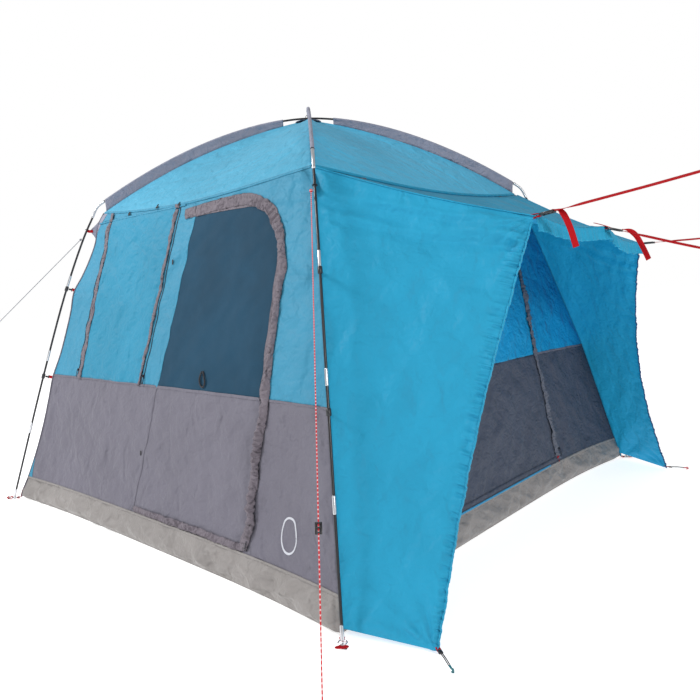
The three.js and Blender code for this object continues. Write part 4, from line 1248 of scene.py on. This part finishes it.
def make_poles():
    """Legs with their ferrules, elbows, and the two arches."""
    for k, name in enumerate(CORNERS):
        across = diagonal(k)[1]
        line_points = on_diagonal(k, LEG_LINE[:, 0], LEG_LINE[:, 1])
        parts = [rings_along(line_points[4:], circle(POLE_R, 14), across)]
        for z in (*FERRULES, 0.038):
            length = 0.060 if z > 0.1 else 0.044
            heights = np.array([-0.5, -0.47, -0.44, 0.44, 0.47, 0.5]) * length + z
            scales = np.array([0.86, 0.97, 1, 1, 0.97, 0.86])
            path = on_diagonal(k, leg_r(heights), heights)
            parts.append((rings_along(path, circle(FERRULE_R, 16), across, scales), 1, False))
        place(solid("leg_pole_" + name, parts, [pole_finish, silver]), "tent", ["leg_" + name])
        bend = smooth_path([(1.2735, 1.6295), (1.254, 1.668), (1.238, 1.690),
                            (1.197, float(arch_z(1.197)))], 26)
        scales = np.concatenate([[0.9, 1.12, 1.12], np.ones(20), [1.12, 1.12, 0.9]])
        path = on_diagonal(k, bend[:, 0], bend[:, 1])
        place(solid("elbow_sleeve_" + name, [rings_along(path, circle(FERRULE_R, 16), across, scales)],
                    [silver]), "tent", ["elbow_" + name])
    for k, name in ((0, "arch_lower"), (1, "arch_upper")):
        across = diagonal(k)[1]
        r = np.linspace(-ELBOW_TOP_R, ELBOW_TOP_R, 121)
        path = on_diagonal(k, r, arch_z(r) + arch_lift(k, r))
        parts = [rings_along(path, circle(POLE_R, 14), across)]
        for middle in (-0.72, -0.30, 0.30, 0.72):
            spots = middle + np.array([-0.5, -0.46, 0.46, 0.5]) * 0.055
            path = on_diagonal(k, spots, arch_z(spots) + arch_lift(k, spots))
            parts.append((rings_along(path, circle(FERRULE_R, 14), across, [0.86, 1, 1, 0.86]), 1, False))
        place(solid(name + "_pole", parts, [pole_finish, silver]), "tent", [name])


def make_apex_ties():
    """Short cords that tie the poles' crossing down to the roof."""
    for i in (-1, 1):
        middle = np.array([0.0, 0.0, APEX_Z + 0.004])
        axis = unit((i, 1, 0.0))
        loop = ring(middle, axis, 0.0150, 0.0016, 24, 1.05)
        place(solid("apex_tie_" + ("a" if i > 0 else "b"), [(loop, 0, True)], [black_cord]))
    top = np.array((0, 0, APEX_Z + 0.018))
    post = smooth_path([top - (0, 0, 0.002), top + (0, 0, 0.012)], 6)
    tube("apex_tab", red_webbing, post, rounded(0.012, 0.002, 0.0006), (1, 1, 0))


GUSSET_EDGE = [(1.180, 1.668), (1.210, 1.640), (1.255, 1.590), (1.295, 1.553), (1.290, 1.546), (1.272, 1.520),
               (1.254, 1.480)]  # (r, z) points
GUSSET_INNER = [(1.176, 1.652), (1.196, 1.622), (1.214, 1.592), (1.236, 1.556), (1.236, 1.550),
                (1.240, 1.520), (1.246, 1.480)]


def make_clip(k, name, z):
    """A clip on a leg, tied to the body's corner by a red tab."""
    pole = on_diagonal(k, leg_r(z), z)
    way_up = unit(on_diagonal(k, leg_r(z + 0.05), z + 0.05) - pole)
    low = z - 0.012
    body = on_diagonal(k, corner_half(low, k) * math.sqrt(2) - 0.004, low)
    inward = unit(body - pole)
    side = np.cross(inward, way_up)
    jaw = np.array([pole + way_up * s for s in (-0.014, -0.012, 0.012, 0.014)])
    parts = [rings_along(jaw, circle(0.0094, 16), side, np.array([0.8, 1, 1, 0.8])),
             block(pole + inward * 0.021, inward, (0.018, 0.010, 0.0055), side),
             block(pole + inward * 0.030, way_up, (0.021, 0.0045, 0.0055), side)]
    place(solid("clip_" + name, parts, [black_plastic]))
    tab = smooth_path([body - inward * 0.004, (body + pole + inward * 0.030) / 2 + (0, 0, 0.001),
                       pole + inward * 0.033], 14)
    tube("clip_tab_" + name, red_webbing, tab, strap_section(0.017, 0.0024), side)


def make_corner_fittings():
    """The clips, the cloth gusset under each elbow and its tie to the leg."""
    for k, name in enumerate(CORNERS):
        out, across = diagonal(k)
        make_clip(k, name + "_low", 0.727)
        make_clip(k, name + "_high", 1.229)
        edge, inner = smooth_path(GUSSET_EDGE, 40), smooth_path(GUSSET_INNER, 40)
        share = np.linspace(0, 1, 9)[None, :, None]
        spots = edge[:, None] * (1 - share) + inner[:, None] * share
        waves = 0.003 * noise(spots[..., 0] / 0.03, spots[..., 1] / 0.04, 320 + k)
        points = on_diagonal(k, spots[..., 0], spots[..., 1], waves)
        sheet("gusset_" + name, [points], [sleeve_cloth], inside=np.array([0, 0, 1.6]) - across * 9)
        tip = on_diagonal(k, 1.290, 1.552)
        pole = on_diagonal(k, leg_r(1.560), 1.560)
        tab = smooth_path([tip - out * 0.012, (tip + pole) / 2 - (0, 0, 0.004), pole + out * 0.001], 12)
        tube("gusset_tab_" + name, red_webbing, tab, strap_section(0.016, 0.0022), across)
        loop = ring(pole, unit(on_diagonal(k, leg_r(1.60), 1.60) - pole), 0.0085, 0.0020, 18)
        place(solid("gusset_loop_" + name, [(loop, 0, True)], [black_cord]))


def make_feet():
    """Each corner's ring, straps and pin at the leg's foot, and its peg."""
    for k, name in enumerate(CORNERS):
        out, across = diagonal(k)
        anchor = on_diagonal(k, 1.872, 0.007)
        parts = [(ring(anchor, (0, 0, 1), 0.0150, 0.0027, 30), 1, True)]
        down = [(corner_half(z, k) * math.sqrt(2) + 0.005, z) for z in (0.075, 0.058, 0.042, 0.026)]
        route = [*down, (1.840, 0.008), (1.8565, 0.0055), (1.8595, 0.0085), (1.8565, 0.0115),
                 (1.846, 0.0115)]
        strap = smooth_path(route, 60)
        parts.append(rings_along(on_diagonal(k, strap[:, 0], strap[:, 1]), strap_section(0.020, 0.0018),
                                 out + (0, 0, 1), np.linspace(0.35, 1, 60)))
        turns = np.linspace(0, 1, 40)
        r = 1.884 + 0.030 * np.sin(math.pi * turns)
        aside = 0.018 * np.sin(2 * math.pi * turns) - 0.004
        height = 0.004 + 0.010 * np.sin(math.pi * turns)
        parts.append(rings_along(on_diagonal(k, r, height, aside), strap_section(0.011, 0.0018), (0, 0, 1)))
        pin = np.array([1.8752, 1.8748, 1.8735]), np.array([0.0028, 0.0040, 0.0105])
        parts.append((rings_along(on_diagonal(k, *pin), circle(0.0048, 14), across, [0.7, 1, 1]), 1, False))
        place(solid("foot_fitting_" + name, parts, [red_webbing, silver]), "tent", ["foot_" + name])
        head = on_diagonal(k, 1.905, 0.0075, 0.004)
        hook = block(head, across + out * 0.3, (0.020, 0.007, 0.009), (0, 0, 1), 0.002)
        place(solid("peg_" + name, [hook], [black_plastic]))


def make_wall_fittings():
    """Toggles that hold rolled covers, and small black tabs."""
    for i, (u, z) in enumerate(((-0.491, 1.619), (-0.214, 1.624), (-0.020, 1.612))):
        spot = on_wall(u, z, FRONT, 0.010)
        loop = smooth_path([on_wall(u - 0.004, z, FRONT, 0.002),
                            on_wall(u - 0.003, z - 0.016, FRONT, 0.010),
                            on_wall(u + 0.003, z - 0.016, FRONT, 0.010),
                            on_wall(u + 0.004, z, FRONT, 0.002)], 24)
        parts = [block(spot - (0, 0, 0.016), (1, 0, 0.25), (0.024, 0.0065, 0.0065), (0, 0, 1), 0.002),
                 rings_along(loop, circle(0.0016, 8), (0, 0, 1))]
        place(solid(f"toggle_{i}", parts, [black_plastic]))
    for i, (u, z) in enumerate(((-0.012, 1.321), (-0.113, 0.409))):
        spot = on_wall(u, z, FRONT, 0.004)
        place(solid(f"wall_tab_{i}", [block(spot, (0.2, 0, 1), (0.024, 0.008, 0.003), (0, -1, 0), 0.0008)],
                    [black_cord]))


# ---- Awning ----
AWNING_FRONT_X, AWNING_FRONT_Y = 1.659, 0.561
AWNING_MIDDLE_X, AWNING_MIDDLE_Z = 1.698, 1.353
HEM_ENDS = (1.379, 1.295)  # the front hem's height on the door side and on the other
AWNING_FOOT = (1.604, 1.185)
RIDGE = (0.864, 1.646)  # x and y, then z, where the awning's ridges leave the tent's corners


def hem_point(t):
    """The awning's front hem, from the door side at t = -1 to t = 1; it droops between the straps."""
    t = np.asarray(t, float)
    z = AWNING_MIDDLE_Z * (1 - t * t) + HEM_ENDS[0] * t * (t - 1) / 2 + HEM_ENDS[1] * t * (t + 1) / 2
    droop = np.abs(np.sin(math.pi * t)) ** 1.3
    x = AWNING_MIDDLE_X - (AWNING_MIDDLE_X - AWNING_FRONT_X) * t * t - 0.020 * droop
    return np.stack([x, t * AWNING_FRONT_Y, z - 0.024 * droop], -1)


def ridge_point(s, way):
    """The seam between the awning's top and a side: s runs from the tent's corner to the hem."""
    s = np.asarray(s, float)[..., None]
    back = np.array([RIDGE[0], way * RIDGE[0], RIDGE[1]])
    front = hem_point(way)
    sag = np.array([0, 0, -0.016]) * np.sin(math.pi * s)
    return back * (1 - s) + front * s + sag


def top_points(s, t):
    """The awning's top: s runs out from the eave to the hem."""
    u = RIDGE[0] * t
    back_z = eave_z(u * EAVE_HALF / RIDGE[0]) - 0.012
    back = np.stack([depth(u, back_z, VEHICLE) + 0.004, u, back_z], -1)
    back_share = np.abs(t)[..., None] ** 10
    corner = np.stack([RIDGE[0] + 0 * u, u, RIDGE[1] + 0 * u], -1)
    back = back * (1 - back_share) + corner * back_share
    front = hem_point(t)
    points = back * (1 - s[..., None]) + front * s[..., None]
    sag = 0.022 * np.sin(math.pi * s) * (1 - t * t) + 0.016 * np.sin(math.pi * s)
    hold = fade(1 - np.abs(t), 0, 0.12) * fade(s, 0, 0.06)
    x, y = points[..., 0], points[..., 1]
    dents = 0.004 * noise(x / 0.3, y / 0.35, 400) + 0.005 * folds(x, y, 0, 0.12, 0.6, 401)
    dents += 0.008 * rays(x, y, (1.66, -0.56), 10, 0.3, 402) + 0.007 * rays(x, y, (1.70, 0.0), 8, 0.2, 403)
    dents += 0.008 * rays(x, y, (0.86, -0.86), 10, 0.3, 404) + 0.0015 * crumple(x, y, 0.09, 405)
    points = points - sag[..., None] * np.array([0, 0, 1.0])
    return points + (dents * hold)[..., None] * np.array([0.25, 0, 1.0])


def side_points(up, out, way):
    """An awning side: up runs from the ground to the ridge, out from the tent's corner to the front."""
    start_z = 0.034 + (RIDGE[1] - 0.034) * up
    corner = corner_half(start_z, 1) + 0.0015
    corner = corner * (1 - fade(up, 0.96, 1)) + RIDGE[0] * fade(up, 0.96, 1)
    back = np.stack([corner, way * corner, start_z], -1)
    scoop = 0.036 if way < 0 else 0.080
    hem = hem_point(way)
    front = np.stack([AWNING_FOOT[0] + (hem[0] - AWNING_FOOT[0]) * up - scoop * np.sin(math.pi * up) ** 0.9,
                      way * (AWNING_FOOT[1] + (AWNING_FRONT_Y - AWNING_FOOT[1]) * up),
                      0.010 + (hem[2] - 0.010) * up], -1)
    s = out[..., None]
    points = back * (1 - s) + front * s
    points = points - (0.016 * np.sin(math.pi * out) * fade(up, 0.5, 1))[..., None] * np.array([0, 0, 1.0])
    seed = 420 + 30 * (way > 0)
    x, z = points[..., 0], points[..., 2]
    billow = 0.022 * np.sin(math.pi * out) * np.sin(math.pi * up) * (-1 if way < 0 else 0.6)
    soft = 0.009 * noise(x / 0.35, z / 0.6, seed) + 0.008 * folds(x, z, 80, 0.12, 0.9, seed + 1)
    pulled = (0.026 * rays(x, z, (0.87, 1.66), 12, 0.45, seed + 2)
              + 0.020 * rays(x, z, (1.66, 1.38), 10, 0.30, seed + 3))
    pulled += (0.020 * rays(x, z, (1.60, 0.0), 12, 0.30, seed + 4)
               + 0.014 * rays(x, z, (1.28, 0.0), 8, 0.25, seed + 5))
    pulled += 0.009 * folds(x, z, -38, 0.09, 0.5, seed + 6) * fade(z, 0.9, 1.5)
    pulled += (0.004 * creases(x, z, 62, 0.12, 0.9, seed + 7)
               + 0.003 * creases(x, z, -58, 0.14, 0.8, seed + 9))
    pulled += 0.016 * folds(out, up, 2, 0.028, 1.2, seed + 12) * fade(up, 0.80, 0.93)
    pulled += 0.006 * noise(up * 26, 2.2 * (1 - out), seed + 18) * fade(out, 0.62, 0.95)
    small = 0.0018 * crumple(x, z, 0.085, seed + 8)
    hold = fade(out, 0, 0.06) * fade(1 - out, 0, 0.05) * fade(1 - up, 0, 0.02) * fade(up, 0, 0.03)
    puckers = (gathers(up * 1.45, 6 * (1 - out), 0.022, seed + 14) - 0.8) * fade(out, 0.90, 0.96)
    outward = unit((0.35, way, 0.30))
    rise = billow + (soft + pulled + small) * hold + (0.0066 if way < 0 else 0.0035) * puckers
    ragged = 0.0012 * noise(up * 70, out, seed + 16) + 0.004 * noise(up * 17, out, seed + 17)
    along = unit((1.0, 0, 0)) * fade(out, 0.92, 1)[..., None]
    return points + rise[..., None] * outward + ragged[..., None] * along * fade(up, 0, 0.05)[..., None]


def make_awning():
    """The top, the valance along its hem, and both sides with their edges."""
    s, t = np.meshgrid(np.linspace(0, 1, 76), np.linspace(-1, 1, 130), indexing="ij")
    sheet("awning_roof", [top_points(s, t)], [awning_cloth], [awning_inner], inside=(1.2, 0, 0.5),
          nodes=["awning_top"])
    v, t = np.meshgrid(np.linspace(0, 1, 12), np.linspace(-1, 1, 420), indexing="ij")
    edge = hem_point(t)
    y = edge[..., 1]
    gather = gathers(y, 0.6 * v, 0.020, 440) - 0.8
    near_strap = 0.5 + 1.0 * (np.exp(-(y / 0.06) ** 2) + np.exp(-((np.abs(y) - 0.56) / 0.07) ** 2))
    drop = 0.056 * v * (1 + 0.06 * noise(y / 0.05, 0 * y, 442))
    out = 0.006 + 0.010 * v + 0.0065 * gather * near_strap * (0.3 + v)
    points = edge + np.stack([out, 0 * y, 0.003 - drop], -1)
    sheet("awning_valance", [points], [awning_cloth], [awning_inner], inside=(1.2, 0, 1.0))
    for way, name in ((-1, "front"), (1, "rear")):
        across = np.concatenate([np.linspace(0, 0.89, 62), np.linspace(0.90, 1, 14)])
        up, out = np.meshgrid(np.linspace(0, 1, 620), across, indexing="ij")
        sheet("awning_wall_" + name, [side_points(up, out, way)], [awning_cloth], [awning_inner],
              inside=(1.1, 0, 0.6), nodes=["awning_side_" + name])
        make_side_edge(way, name)
        make_ridge(way, name)
        make_hook(way, name)


def make_side_edge(way, name):
    """The rolled edge of a side's gathered hem."""
    up = np.linspace(0.004, 0.985, 620)
    path = side_points(up, np.ones_like(up), way)
    wobble = 1 + 0.15 * noise(up * 90, 0 * up, 455 + way)
    inward = unit((-1.0, 0, 0))
    # Painted shade: the far side's edge is navy for the shade there; the near side's has the awning's own
    # colour.
    tube("side_edge_" + name, awning_cloth if way < 0 else shaded_edge_cloth, path, rounded(0.010, 0.004, 0.0015),
         inward, wobble)


def make_ridge(way, name):
    """The seam along a ridge."""
    s = np.linspace(0.0, 1, 120)
    path = ridge_point(s, way) + np.array([0, 0, 0.001])
    wobble = 1 + 0.2 * noise(s / 0.02, 0 * s, 460 + way)
    tube("ridge_seam_" + name, awning_cloth, path, rounded(0.009, 0.005, 0.002), (0, 0, 1), wobble)


def make_hook(way, name):
    """Shock cord, red tab, buckle and hook at the bottom front corner."""
    corner = np.array([AWNING_FOOT[0] + 0.004, way * (AWNING_FOOT[1] + 0.002), 0.018])
    end = np.array([AWNING_FOOT[0] + 0.085, way * (AWNING_FOOT[1] + 0.055), 0.012])
    along = unit(end - corner)
    flat = unit(np.cross(along, (0, 0, 1)))
    halfway = (corner + end) / 2 + (0, 0, 0.002)
    cord = smooth_path([corner + along * 0.010, halfway, end - along * 0.010], 20)
    parts = [rings_along(cord + flat * side * 0.0026, circle(0.0018, 8)) for side in (-1, 1)]
    parts += [(block(corner + along * 0.012, along, (0.018, 0.015, 0.006), (0, 0, 1), 0.0015), 1, False)]
    hook = [end - along * 0.014, end, end + along * 0.010 + (0, 0, 0.003),
            end + along * 0.013 - (0, 0, 0.004), end + along * 0.004 - (0, 0, 0.0075)]
    parts += [(rings_along(smooth_path(hook, 24), rounded(0.007, 0.005, 0.0015), (0, 0, 1)), 2, False)]
    finishes = [black_cord, black_plastic, hook_plastic if way < 0 else red_plastic]
    place(solid("peg_hook_" + name, parts, finishes), "tent", ["awning_hook_" + name])
    tab = smooth_path([corner - along * 0.022 + (0, 0, 0.004), corner + along * 0.004,
                       corner + along * 0.012], 10)
    tube("corner_tab_" + name, red_webbing, tab, strap_section(0.016, 0.002), (0, 0, 1))


# ---- Everything ----
make_camera()
make_cords()
make_tray()
make_front_wall()
make_window()
make_door()
make_vehicle_wall()
make_plain_walls()
make_seams()
make_corner_patches()
make_roof()
make_sleeves()
make_poles()
make_apex_ties()
make_corner_fittings()
make_feet()
make_wall_fittings()
make_awning()
make_floor()
make_lights()
